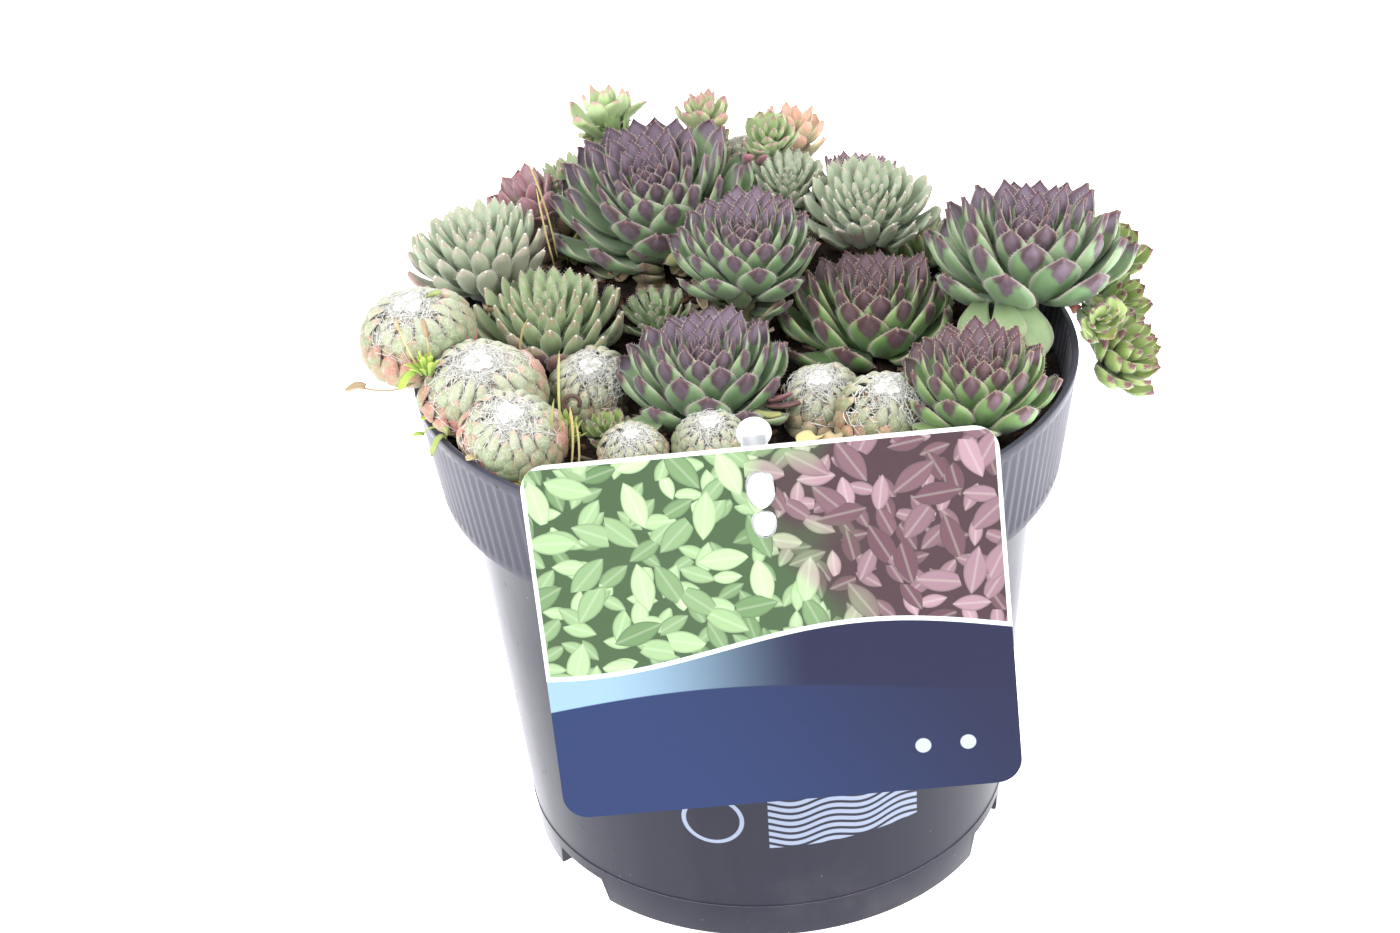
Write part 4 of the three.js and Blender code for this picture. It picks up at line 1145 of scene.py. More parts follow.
def make_rosette(plant):
    """One rosette with its stem, and its leaves' points from the youngest leaf to the oldest."""
    shape = Shape(*LEAF_KEYS)
    planes = neighbour_planes(plant) + rim_planes(plant)
    add_core(shape, plant)
    add_stem(shape, plant)
    leaf = shared_leaf(plant.form)
    points, ages = add_leaves(shape, plant, leaf, planes)
    add_fringe(shape, leaf, points, ages)
    if plant.name in STEM_FEET:
        add_skirt(shape, plant, leaf, planes)
    for *places, width, tone in HANGING.get(plant.name, ()):
        hung = single_leaf(leaf, *places, width, HANGING_DEPTH)
        shape.add_leaf(leaf, hung, along=leaf.along * HANGING_ALONG, age=0.7, tone=tone, dry=0.14)
    piece = shape.piece(f"{plant.name}_rosette")
    finish_piece(piece, shared_material(plant.look), LOOKS[plant.look]["slot"], [plant.name])
    return points


# ---------------------------------------------------------------- cobweb


def add_thread(shape, start, end, rise, thickness):
    """A three-sided thread that bows outwards in the middle."""
    path = np.stack((start, (start + end) / 2 + rise, end))
    side = unit(np.cross(end - start, rise + np.array((0.01, 0.02, 0.03))))
    over = unit(np.cross(end - start, side))
    corners = [side, -0.5 * side + 0.87 * over, -0.5 * side - 0.87 * over]
    rows = np.stack([path + corner * thickness / 2 for corner in corners], 1).reshape(-1, 3)
    faces = [(0, 2, 1), (6, 7, 8)]
    for row in (0, 3):
        faces += [(row + a, row + b, row + b + 3, row + a + 3) for a, b in ((0, 1), (1, 2), (2, 0))]
    shape.add(rows, faces)


def cap_point(plant, tilt, spin, out):
    """A point over a cobweb rosette: tilt from its axis, spin round it and out in its radii."""
    level = out * math.sin(tilt)
    local = np.array((level * math.cos(spin), level * math.sin(spin), out * BALL_HEIGHT * math.cos(tilt)))
    return plant.to_world(local * plant.radius)


def add_cap_thread(shape, plant, rng, start, end, bows, thicknesses):
    """A thread over a cobweb rosette that bows away from its middle."""
    bow = unit((start + end) / 2 - plant.centre) * rng.uniform(*bows) * plant.radius
    add_thread(shape, start, end, bow, rng.uniform(*thicknesses))


# How far out the wool and the feathers lie in radii, how far a thread bows in radii, and its thickness.
WOOL = {"out": (1.02, 1.12), "bows": (0.01, 0.05), "thicknesses": (0.07, 0.12)}
FEATHERS = {"out": (1.0, 1.07), "bows": (0.02, 0.05), "thicknesses": (0.09, 0.15)}


def add_web(shape, plant, tips, rng):
    """Threads from each leaf's tip to the tips of leaves near it."""
    threads, thicknesses = (3, (0.16, 0.24)) if plant.look == "rust" else (4, (0.07, 0.12))
    for tip in tips:
        distance = np.linalg.norm(tips - tip, axis=1)
        near = np.argsort(distance)[1:14]
        for other in rng.choice(near, threads, replace=False):
            out = unit((tip + tips[other]) / 2 - plant.centre)
            bow = out * distance[other] * rng.uniform(0.05, 0.16)
            jitter = rng.normal(0, 0.03 * plant.radius, (2, 3))
            add_thread(shape, tip + jitter[0], tips[other] + jitter[1], bow, rng.uniform(*thicknesses))


def make_cobweb(plant, points, seed):
    """Threads from tip to tip, and a tangle of wool over the youngest leaves."""
    rng = np.random.default_rng(seed)
    shape = Shape()
    add_web(shape, plant, points[:, -1] + (points[:, -1] - plant.centre) * 0.06, rng)
    for _ in range(int(WOOL_THREADS * plant.radius)):
        tilt, spin = math.radians(rng.uniform(0, 25)), rng.uniform(0, 2 * math.pi)
        start = cap_point(plant, tilt, spin, rng.uniform(*WOOL["out"]))
        end_tilt, end_spin = tilt + rng.normal(0, 0.16), spin + rng.normal(0, 0.6)
        end = cap_point(plant, end_tilt, end_spin, rng.uniform(*WOOL["out"]))
        add_cap_thread(shape, plant, rng, start, end, WOOL["bows"], WOOL["thicknesses"])
    for _ in range(int(FEATHER_THREADS * plant.radius)):
        tilt, spin = math.radians(14 + 52 * rng.uniform(0, 1) ** 1.4), rng.uniform(0, 2 * math.pi)
        turn = rng.normal(0, 0.24) / math.sin(tilt)
        start = cap_point(plant, tilt, spin, rng.uniform(*FEATHERS["out"]))
        end = cap_point(plant, tilt + rng.normal(0, 0.22), spin + turn, rng.uniform(*FEATHERS["out"]))
        add_cap_thread(shape, plant, rng, start, end, FEATHERS["bows"], FEATHERS["thicknesses"])
    finish_piece(shape.piece(f"{plant.name}_web"), MATERIALS["wool"], "cobweb_leaf")


PAD_FOOT = 0.965                # where the ball is cut for the wool's cap, in its radii
PAD_STRETCH = 1.09
PAD_RELIEF = 0.012


def make_wool_pad(plant, seed):
    """The felted patch of wool in the middle: a cap of a ball with a ragged skin."""
    deselect()
    bpy.ops.mesh.primitive_uv_sphere_add(segments=40, ring_count=48, radius=1)
    pad = start_piece(f"{plant.name}_wool")
    start_edit()
    bpy.ops.mesh.bisect(plane_co=(0, 0, PAD_FOOT), plane_no=(0, 0, 1), clear_inner=True, use_fill=True)
    bpy.ops.object.mode_set(mode="OBJECT")
    phases = np.random.default_rng(seed).uniform(0, 6.28, 4)
    points = points_of(pad)
    angle = np.arctan2(points[:, 1], points[:, 0])
    ragged = 1 + 0.12 * np.sin(3 * angle + phases[0]) + 0.09 * np.sin(7 * angle + phases[1])
    points[:, :2] *= ragged[:, None]
    relief = np.sin(31 * points[:, 0] + phases[2]) * np.sin(29 * points[:, 1] + phases[3])
    points[:, 2] = points[:, 2] * BALL_HEIGHT * PAD_STRETCH + PAD_RELIEF * relief
    move_points(pad, plant.to_world(points * plant.radius) * MM)
    pad.data.shade_smooth()
    finish_piece(pad, MATERIALS["wool"], "cobweb_leaf")


# ---------------------------------------------------------------- branch over the rim


def make_branch():
    """Chicks on their stolons, which leave the soil together and lead over the rim."""
    shape = Shape(*LEAF_KEYS)
    fork, bend = from_rim(BRANCH_FORK, BRANCH_BEND)
    foot = np.array((*bend[:2], soil_height(*bend[:2]) - STEM_DEPTH))
    path = [foot, (foot + bend) / 2, bend, (bend + fork) / 2, fork]
    add_tube(shape, path, STOLON_RADIUS, STEM_SIDES, along=0.2, dry=0.3)
    leaf = shared_leaf("star")
    for chick in BRANCH_PLANTS:
        outward = unit(chick.centre * np.array((1, 1, 0)))
        beside = (outward, -(RIM_RADIUS + BESIDE_RIM))
        above = (np.array((0.0, 0.0, 1.0)), -(RIM_HEIGHT + BESIDE_RIM))
        planes = neighbour_planes(chick)
        planes.append(above if chick.centre[2] > RIM_HEIGHT + OVER_RIM else beside)
        add_core(shape, chick)
        add_fringe(shape, leaf, *add_leaves(shape, chick, leaf, planes))
        middle = (fork + chick.centre) / 2 - np.array((0, 0, STOLON_SAG))
        add_tube(shape, [fork, middle, chick.centre], STOLON_RADIUS, STEM_SIDES, along=0.2, dry=0.2)
    piece = shape.piece(f"{BRANCH_NODE}_rosettes")
    finish_piece(piece, shared_material(BRANCH_LOOK), LOOKS[BRANCH_LOOK]["slot"], [BRANCH_NODE])


# ---------------------------------------------------------------- pot

FLUTES = 144
STEPS_PER_FLUTE = 4
FLUTE_DEPTH = 0.32
FLUTE_FOOT = COLLAR_FOOT + 2.3
FLUTE_TOP = RIM_HEIGHT - 2.5
FLUTE_FADE = 0.3                # above and below a flute's end, from a smooth wall to its full depth
EDGE_ROUND = 0.45
LOW_LINE = 8                    # the height of the fine step round the foot
AXIS_RADIUS = 0.8               # of the last ring in the middle of the base and floor
DRAIN_HOLE_SIDES = 28
COLLAR_STEP = 12                # how far down the inside of the collar goes before it narrows


def pot_profile():
    """Outside from the middle of the base up to the rim, then down the inside to the floor."""
    lean = (RIM_RADIUS - COLLAR_FOOT_RADIUS) / COLLAR_HEIGHT
    edge = EDGE_ROUND

    def body(height, out=0.0):
        return BASE_RADIUS + (NECK_RADIUS - BASE_RADIUS) * height / COLLAR_FOOT + out, height

    def collar(height):
        return COLLAR_FOOT_RADIUS + lean * (height - COLLAR_FOOT), height

    ring_inside = BASE_RADIUS - FOOT_RING_WIDTH
    foot = [
        (AXIS_RADIUS, 0), (CENTRE_PAD_RADIUS, 0), (CENTRE_PAD_RADIUS + 1, RECESS_HEIGHT),
        (ring_inside - 1, RECESS_HEIGHT), (ring_inside, 0), (BASE_RADIUS - edge, 0),
        (body(edge)[0] - edge * 0.3, edge * 0.3), body(edge),
    ]
    step = [body(LOW_LINE + rise, out) for rise, out in ((-0.2, 0), (0, 0), (0.3, 0.2), (0.6, 0), (0.8, 0))]
    wall = [
        body(40), body(60), body(COLLAR_FOOT - 1.5), (NECK_RADIUS + 0.3, COLLAR_FOOT - 0.3),
        (NECK_RADIUS + 0.9, COLLAR_FOOT), (COLLAR_FOOT_RADIUS - edge, COLLAR_FOOT),
        (COLLAR_FOOT_RADIUS, COLLAR_FOOT + edge),
    ]
    fluted = [collar(end + fade) for end in (FLUTE_FOOT, FLUTE_TOP) for fade in (-FLUTE_FADE, FLUTE_FADE)]
    rim = [
        (RIM_RADIUS - 0.05, RIM_HEIGHT - edge), (RIM_RADIUS - edge * 0.35, RIM_HEIGHT - edge * 0.3),
        (RIM_RADIUS - edge, RIM_HEIGHT), (INNER_RIM + edge, RIM_HEIGHT), (INNER_RIM, RIM_HEIGHT - edge),
        (INNER_RIM - lean * COLLAR_STEP, RIM_HEIGHT - COLLAR_STEP),
        (COLLAR_FOOT_RADIUS - WALL + 0.2, COLLAR_FOOT + WALL), (NECK_RADIUS - WALL, COLLAR_FOOT + WALL),
        (body(FLOOR_TOP)[0] - WALL, FLOOR_TOP), (AXIS_RADIUS, FLOOR_TOP),
    ]
    return foot + step + wall + fluted + rim


def cut(piece, cutter):
    apply_modifier(piece, "BOOLEAN", operation="DIFFERENCE", solver="EXACT", object=cutter)
    bpy.data.objects.remove(cutter)


def drain_cutter():
    """Five round holes through the floor, joined in one cutter."""
    deselect()
    made = []
    size = {"vertices": DRAIN_HOLE_SIDES, "radius": DRAIN_HOLE_RADIUS * MM, "depth": 12 * MM}
    for number in range(DRAIN_HOLES):
        angle = (number + 0.5) * 2 * math.pi / DRAIN_HOLES
        x, y = DRAIN_CIRCLE_RADIUS * math.cos(angle), DRAIN_CIRCLE_RADIUS * math.sin(angle)
        bpy.ops.mesh.primitive_cylinder_add(location=(x * MM, y * MM, 4 * MM), **size)
        made.append(bpy.context.object)
    cutter = join(made, made[-1])
    apply_place(cutter)
    return cutter


def notch_cutter(degrees):
    """A wedge through the foot ring, wider at the bottom than at the top."""
    half_top = BASE_RADIUS * math.tan(math.radians(NOTCH_HALF_ANGLE))
    inner = BASE_RADIUS - NOTCH_DEPTH
    deselect()
    bpy.ops.mesh.primitive_cube_add(size=1, location=(0, 0, 0))
    cutter = bpy.context.object
    for vertex in cutter.data.vertices:
        x = math.copysign(half_top * (NOTCH_FLARE if vertex.co.z < 0 else 1), vertex.co.x)
        y = -inner if vertex.co.y > 0 else -(BASE_RADIUS + 3)
        vertex.co = Vector((x, y, NOTCH_HEIGHT if vertex.co.z > 0 else -1)) * MM
    cutter.data.transform(Matrix.Rotation(math.radians(degrees), 4, "Z"))
    return cutter


def make_pot(settings):
    pot = ring_stack("nursery_pot", pot_profile(), FLUTES * STEPS_PER_FLUTE)
    points = points_of(pot)
    angle = np.arctan2(points[:, 1], points[:, 0])
    radius = np.hypot(points[:, 0], points[:, 1])
    groove = 0.5 - 0.5 * np.cos(angle * FLUTES)
    fluted = (points[:, 2] > FLUTE_FOOT * MM) & (points[:, 2] < FLUTE_TOP * MM)
    fluted &= radius > (COLLAR_FOOT_RADIUS - 0.2) * MM
    points[:, :2] *= 1 - (fluted * groove * settings.flute_depth / np.maximum(radius, MM))[:, None]
    move_points(pot, points)
    cut(pot, drain_cutter())
    for degrees in NOTCH_CENTRES:
        cut(pot, notch_cutter(degrees))
    smooth(pot, 32)
    finish_piece(pot, pot_material(settings.plastic), "pot_plastic", ["pot"])


# ---------------------------------------------------------------- soil and litter


def lumps(x, y, scale, seed):
    """A soft uneven relief from crossed waves, from -1 to 1."""
    rng = np.random.default_rng(seed)
    total = np.zeros_like(x)
    for _ in range(9):
        angle, phase = rng.uniform(0, 2 * math.pi, 2)
        pitch = scale * rng.uniform(0.6, 1.7)
        total += np.sin((x * math.cos(angle) + y * math.sin(angle)) * 2 * math.pi / pitch + phase)
    return total / 5


# The soil's coarse and fine lumps: their height, their pitch and their seed.
SOIL_LUMPS = ((0.7, 9, 3), (0.35, 3.2, 4))


def soil_top(x, y):
    return soil_height(x, y) + sum(height * lumps(x, y, pitch, seed) for height, pitch, seed in SOIL_LUMPS)


SOIL_STEPS = 150
SOIL_EDGE = INNER_RIM - 1.6
# Rings of the plug below the soil's top, inside the pot's wall.
PLUG_RINGS = (
    (INNER_RIM - 2.2, RIM_HEIGHT - 14),
    (COLLAR_FOOT_RADIUS - WALL - 0.6, COLLAR_FOOT + WALL + 0.5),
    (NECK_RADIUS - WALL - 0.6, COLLAR_FOOT + WALL + 0.4),
    (BASE_RADIUS - WALL - 0.2, FLOOR_TOP + 0.4),
)


def make_soil():
    """A disc of uneven ground on a plug that fills the pot."""
    deselect()
    bpy.ops.mesh.primitive_grid_add(x_subdivisions=SOIL_STEPS, y_subdivisions=SOIL_STEPS, size=2)
    soil = start_piece("potting_soil")
    points = points_of(soil)
    x, y = points[:, 0].copy(), points[:, 1].copy()
    before = SOIL_EDGE
    points[:, 0] = x * np.sqrt(1 - y * y / 2) * before
    points[:, 1] = y * np.sqrt(1 - x * x / 2) * before
    points[:, 2] = soil_top(points[:, 0], points[:, 1])
    move_points(soil, points * MM)
    start_edit()
    bpy.ops.mesh.region_to_loop()
    for radius, height in PLUG_RINGS:
        bpy.ops.mesh.extrude_region_move()
        share = radius / before
        bpy.ops.transform.resize(value=(share, share, 0), center_override=(0, 0, height * MM))
        before = radius
    bpy.ops.mesh.edge_face_add()
    end_edit()
    smooth(soil, 60)
    finish_piece(soil, soil_material(), "potting_soil", ["soil"])


CHIPS = 900
CHIPS_REACH = 60.5
CHIP_SIZES = ((0.8, 4), (0.6, 1.6), (0.4, 1))
BOX_CORNERS = np.array([(x, y, z) for x in (-1, 1) for y in (-1, 1) for z in (-1, 1)]) / 2
BOX_FACES = ((0, 1, 3, 2), (4, 6, 7, 5), (0, 4, 5, 1), (2, 3, 7, 6), (0, 2, 6, 4), (1, 5, 7, 3))


def add_chip(shape, place, size, rng, tone):
    """A splinter of bark: a box with its corners knocked about."""
    corners = BOX_CORNERS * np.array(size) * rng.uniform(0.6, 1.2, (8, 3))
    turn = Matrix.Rotation(rng.uniform(0, 6.28), 3, "Z") @ Matrix.Rotation(rng.normal(0, 0.4), 3, "X")
    shape.add(corners @ np.array(turn).T + place, BOX_FACES, tone=tone)


def make_chips():
    rng = np.random.default_rng(21)
    shape = Shape("tone")
    for _ in range(CHIPS):
        radius = CHIPS_REACH * math.sqrt(rng.uniform(0, 1))
        bearing = rng.uniform(0, 2 * math.pi)
        x, y = radius * math.cos(bearing), radius * math.sin(bearing)
        size = [rng.uniform(*limits) for limits in CHIP_SIZES]
        place = np.array((x, y, soil_top(np.array(x), np.array(y)) + 0.2))
        add_chip(shape, place, size, rng, rng.uniform(0, 1) ** 1.6)
    finish_piece(shape.piece("bark_chips"), bark_material(), "potting_soil")


def make_pebbles():
    material = stone_material()
    for seed, name in enumerate(PEBBLES):
        deselect()
        bpy.ops.mesh.primitive_ico_sphere_add(subdivisions=4, radius=0.5)
        pebble = start_piece(f"{name}_stone")
        low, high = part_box(name)
        points = points_of(pebble)
        points *= 1 + 0.07 * np.sin(5 * points[:, [1]] + seed) + 0.05 * np.sin(9 * points[:, [0]] + 2 * seed)
        move_points(pebble, points * np.array(high - low) * 1.1 + np.array((low + high) / 2))
        pebble.data.shade_smooth()
        finish_piece(pebble, material, "gravel", [name])


# Loose leaves: form, root, bend, tip, width and tone, from fresh green at 0 over straw at 0.5 and brown
# at 0.75 to pink at 1. Stalks and grass have no form. All heights are measured from the rim.
LOOSE_LEAVES = (
    ("tuft", (-62.2, -17.8, 8.8), (-63.4, -18.4, 9), (-65.4, -19, 5.8), 3.4, 0.0),
    ("tuft", (-64.6, -17, 17.4), (-64.9, -17, 18.6), (-65.1, -17, 20), 1.3, 0.62),
    ("tuft", (-59.8, -17, 15.8), (-60, -17, 17.4), (-60.2, -17, 19.4), 1.8, 0.7),
    ("tuft", (-60, -6, 18.4), (-58.6, -6, 19.4), (-57.2, -6.4, 19.2), 2.2, 0.3),
    ("star", (-72.8, -15.6, 4.9), (-74.2, -15.2, 5.6), (-76.3, -15.2, 4.1), 3.2, 0.64),
    ("tuft", (-60.6, -22, 1), (-61, -22.4, 1.8), (-61.8, -23.4, 1.6), 1.5, 0.05),
    ("tuft", (-61.6, -24.6, -0.9), (-62.4, -24.8, -0.3), (-63.6, -25, -0.9), 1.4, 0.1),
    ("tuft", (-57.4, -29, 1), (-58.6, -30, 1.6), (-59.8, -31.2, -2), 1.7, 0.3),
    ("tuft", (-56.8, -29, 1.2), (-56.6, -29.8, 3), (-57, -30.6, 3.6), 1.3, 0.34),
    ("tuft", (-50.6, -37, 0.4), (-51.4, -38, 1.4), (-52.8, -38.4, 0.8), 2, 0.6),
    ("star", (11.5, -34.5, -1.6), (12, -37, 0.6), (8, -38.4, -0.8), 4.4, 0.56),
    ("star", (15, -34, -1.6), (15.6, -37, 0), (12.4, -39.4, -1), 3.6, 0.62),
    ("cup", (2.3, -21.5, 0), (5, -24, 0.4), (8, -26.4, 3.6), 3, 0.86),
    ("cup", (3, -23, -0.6), (6, -25, -0.4), (9.4, -27, 1.6), 2.8, 0.84),
    ("cup", (0.4, -24, -1.2), (3, -27, -1), (5.6, -28.6, 0.2), 2.8, 0.4),
    ("cup", (68.6, 3, 7), (70.6, 1.6, 6.8), (71.6, 1, 9), 2.6, 0.93),
    ("cup", (64.6, 0, 3), (65, -1.4, 3.6), (64.6, -2.4, 5.6), 2.6, 0.97),
    ("star", (3, 33.6, 24.5), (4, 31.8, 25.6), (3.4, 30.6, 27.4), 2.6, 0.9),
    ("star", (5.4, 34, 24), (6.6, 32, 25), (7, 31, 27), 2.2, 0.86),
    ("star", (33, -25, 1.6), (30.6, -28, 3), (29.4, -29, 6.4), 3, 0.8),
    ("star", (-17, -29.5, -3), (-20, -32, 1), (-20.6, -34.4, 1.6), 3.2, 0.78),
    ("cup", (-46, 20, -1), (-49, 14, 4), (-50.5, 12, 6), 5, 0.72),
    ("cup", (-60, 19, 7), (-66, 16.5, 6), (-69, 16, 8), 5.4, 0.84),
    ("cup", (-61, 17, 4), (-66, 13, 4), (-68.5, 12.4, 6), 5, 0.82),
    ("cup", (-36.4, 46, 0), (-35.6, 42, 6), (-32.4, 39, 13.4), 6.4, 0.74),
    ("cup", (-38, -22, -4), (-36, -27, -2), (-33.6, -29.6, 2), 3.4, 0.7),
    ("tuft", (-36.6, -20, -4), (-35, -26, 0), (-37.4, -28, 3.4), 2.4, 0.1),
)
STALKS = (
    ((-60, -15, 0), (-60, -17, 5), (-60.3, -17.6, 9), 0.6, 0.05),
    ((-61.5, -16.4, 8), (-63.6, -17, 13), (-64.6, -17, 17.6), 0.35, 0.5),
    ((-60.4, -16.8, 9), (-59.2, -17.4, 13), (-59.8, -17, 16), 0.35, 0.6),
    ((-58.5, -8, 16), (-59, -6.5, 18), (-60, -6, 18.5), 0.3, 0.4),
    ((-60.6, -16.4, 7.4), (-66, -16.4, 3), (-73, -15.6, 5), 0.46, 0.68),
    ((-57, -27, -2), (-57, -28.6, 0), (-57.2, -29, 1.2), 0.4, 0.3),
    ((-58.6, -20, -1), (-59.8, -21, 0.4), (-60.8, -22.2, 1.1), 0.3, 0.3),
    ((-57.4, -23.4, -2), (-59.6, -24.4, 2), (-61.8, -24.6, -0.8), 0.4, 0.2),
)
GRASS = (
    ((-36.4, 28, 9), (-37.4, 28, 22), (-41.4, 28, 33), 0.8, 0.45),
    ((-37, 27, 7), (-38.6, 27, 16), (-39.2, 26.5, 25), 0.6, 0.55),
    ((-35.4, -34, -6), (-35.8, -31, 8), (-34.4, -30, 18), 0.5, 0.42),
    ((-36.6, -35, -6), (-37.8, -34, 3), (-36, -33, 9.5), 0.6, 0.4),
    ((-34.4, -35, -6), (-32.6, -34, 2), (-33.4, -33, 8), 0.5, 0.5),
    ((-38.4, -37, -6), (-39.6, -36.4, 0), (-41.6, -36, 4.6), 0.6, 0.36),
    ((-33, -36, -6), (-31.8, -36, 0), (-32.4, -35, 5.4), 0.5, 0.5),
    ((-43.4, -2, 0), (-44, -6, 8), (-41, -9, 14), 0.5, 0.5),
)
# Clumps of moss and seedlings: middle, spread, height, leaves and tone.
CLUMPS = (
    ((-60.3, -17.6, 8.4), 3.4, 5.2, 26, 0.0),
    ((-35, -29, -3), 3.4, 8, 46, 0.2),
    ((-45.8, -38, -4), 2.6, 4.6, 40, 0.05),
    ((-41, -41.5, -5), 3, 4, 34, 0.12),
    ((-50, -3.4, -3), 3.6, 6, 36, 0.25),
    ((-45, 24, 0), 4, 7, 40, 0.3),
    ((-34, 42, 0), 4.5, 12, 40, 0.25),
    ((-11, 54, -2), 4, 5, 40, 0.1),
    ((17, 52, -3), 4, 4, 40, 0.15),
    ((46, 33, -6), 4, 4, 40, 0.12),
)


STALK_SIDES = 6
STALK_STEPS = 8

# A dry tendril curls on its own at the front: its middle, its half width and half height.
TENDRIL = ((-33.3, -25.4, 4.2), 1.5, 1.6)
TENDRIL_RADIUS = 0.45
TENDRIL_SIDES = 7
TENDRIL_STEPS = 14


def add_clump(shape, leaf, rng, middle, spread, height, count, tone):
    """A tuft of small leaves that lean outwards from its middle."""
    for _ in range(count):
        bearing, lean = rng.uniform(0, 2 * math.pi), rng.uniform(0.1, 1)
        out = np.array((math.cos(bearing), math.sin(bearing), 0))
        foot = np.array(middle) + out * spread * 0.4 * rng.uniform(0, 1)
        rise = np.array((0, 0, height * rng.uniform(0.5, 1) * (1.1 - 0.6 * lean)))
        bend = foot + out * spread * lean * 0.3 + rise * 0.7
        grown = single_leaf(leaf, foot, bend, foot + out * spread * lean + rise, rng.uniform(0.7, 1.3), 0.3)
        shape.add_leaf(leaf, grown, tone=tone + rng.uniform(0, 0.16))


def make_weeds():
    rng = np.random.default_rng(8)
    shape = Shape("along", "tone")
    for form, *places, width, tone in LOOSE_LEAVES:
        leaf = shared_leaf(form)
        shape.add_leaf(leaf, single_leaf(leaf, *places, width, depth=0.5, cup=0.22), tone=tone)
    for *places, thickness, tone in STALKS:
        path, _ = curve(np.linspace(0, 1, STALK_STEPS)[:, None], *from_rim(*places))
        add_tube(shape, path, thickness / 2, STALK_SIDES, along=0.5, tone=tone)
    blade = shared_leaf("tuft")
    for *places, width, tone in GRASS:
        shape.add_leaf(blade, single_leaf(blade, *places, width, depth=0.2, cup=0.2), tone=tone)
    for clump in CLUMPS:
        add_clump(shape, blade, rng, *clump)
    middle, half_width, half_height = TENDRIL
    turns = np.linspace(-0.6, 4.6, TENDRIL_STEPS)
    curl = np.stack((half_width * np.cos(turns), np.zeros_like(turns), half_height * np.sin(turns)), -1)
    add_tube(shape, curl + from_rim(middle)[0], TENDRIL_RADIUS, TENDRIL_SIDES, along=0.2, tone=0.8)
    finish_piece(shape.piece("weeds_and_litter"), sprig_material(), "green_leaf")


# ---------------------------------------------------------------- label and stake


def label_matrix():
    """From the label's face, with the middle of its top edge at zero, to its place."""
    roll = Matrix.Rotation(math.radians(LABEL_ROLL), 4, "Z")
    stand = Matrix.Rotation(math.pi / 2 - math.radians(LABEL_TILT), 4, "X")
    yaw = Matrix.Rotation(math.radians(LABEL_YAW), 4, "Z")
    return Matrix.Translation(LABEL_TOP) @ yaw @ stand @ roll


def label_plane(paint):
    """Millimetres across the label from its middle, up from its top edge, and out from its front."""
    flat = label_matrix().inverted()
    place = paint.place()
    for row in flat[:3]:
        inputs = {0: place, 1: tuple(row[:3])}
        dot = paint.node("ShaderNodeVectorMath", {"operation": "DOT_PRODUCT"}, inputs, output="Value")
        yield dot / MM + row[3]


# How many printed leaves there are to a millimetre in each layer, and what shifts a layer beside the last.
PRINTED_LAYERS = (0.2, 0.16, 0.12)
LAYER_SHIFT = (31.0, 17.0)


def printed_leaves(paint, across, up):
    """Three layers of loose leaves, each turned its own way, over a dark ground."""

    def flat(x, y):
        return paint.node("ShaderNodeCombineXYZ", inputs={"X": x, "Y": y, "Z": 0.0})

    def part(kind, key, whole, output):
        return paint.node(kind, inputs={key: whole}, output=output)

    drift = paint.noise(0.05, 2, where=flat(across, up))
    region = (across / 60 + drift).ramp(0.5, 0.75)
    leafy = paint.mix(region, srgb(58, 78, 52), srgb(62, 44, 50))
    for layer, scale in enumerate(PRINTED_LAYERS):
        x, y = across + layer * LAYER_SHIFT[0], up + layer * LAYER_SHIFT[1]
        cell = ("ShaderNodeTexVoronoi", {"voronoi_dimensions": "2D"}, {"Vector": flat(x, y), "Scale": scale})
        middle = paint.node(*cell, output="Position")
        hue = part("ShaderNodeSeparateColor", "Color", paint.node(*cell, output="Color"), "Red")
        right = x - part("ShaderNodeSeparateXYZ", "Vector", middle, "X")
        rise = y - part("ShaderNodeSeparateXYZ", "Vector", middle, "Y")
        cos, sin = (hue * 6.28).maths("COSINE"), (hue * 6.28).maths("SINE")
        length, breadth = right * cos + rise * sin, abs(rise * cos - right * sin)
        half, wide = 0.56 / scale, 0.25 / scale
        edge = (1 - abs(length / half) ** 2) * wide - breadth
        shade = (hue * 3.7).maths("FRACT")
        green = paint.mix(shade, srgb(84, 112, 74), srgb(158, 184, 140))
        plum = paint.mix(shade, srgb(84, 56, 66), srgb(150, 122, 132))
        tint = paint.mix(region, green, plum)
        tint = paint.mix(breadth.ramp(0.4, 0.0) * 0.16, tint, srgb(198, 204, 186))
        tint = paint.mix(edge.ramp(0.5, 0.0) * 0.4, tint, srgb(60, 66, 56))
        leafy = paint.mix(edge.ramp(-0.05, 0.08), leafy, tint)
    return leafy


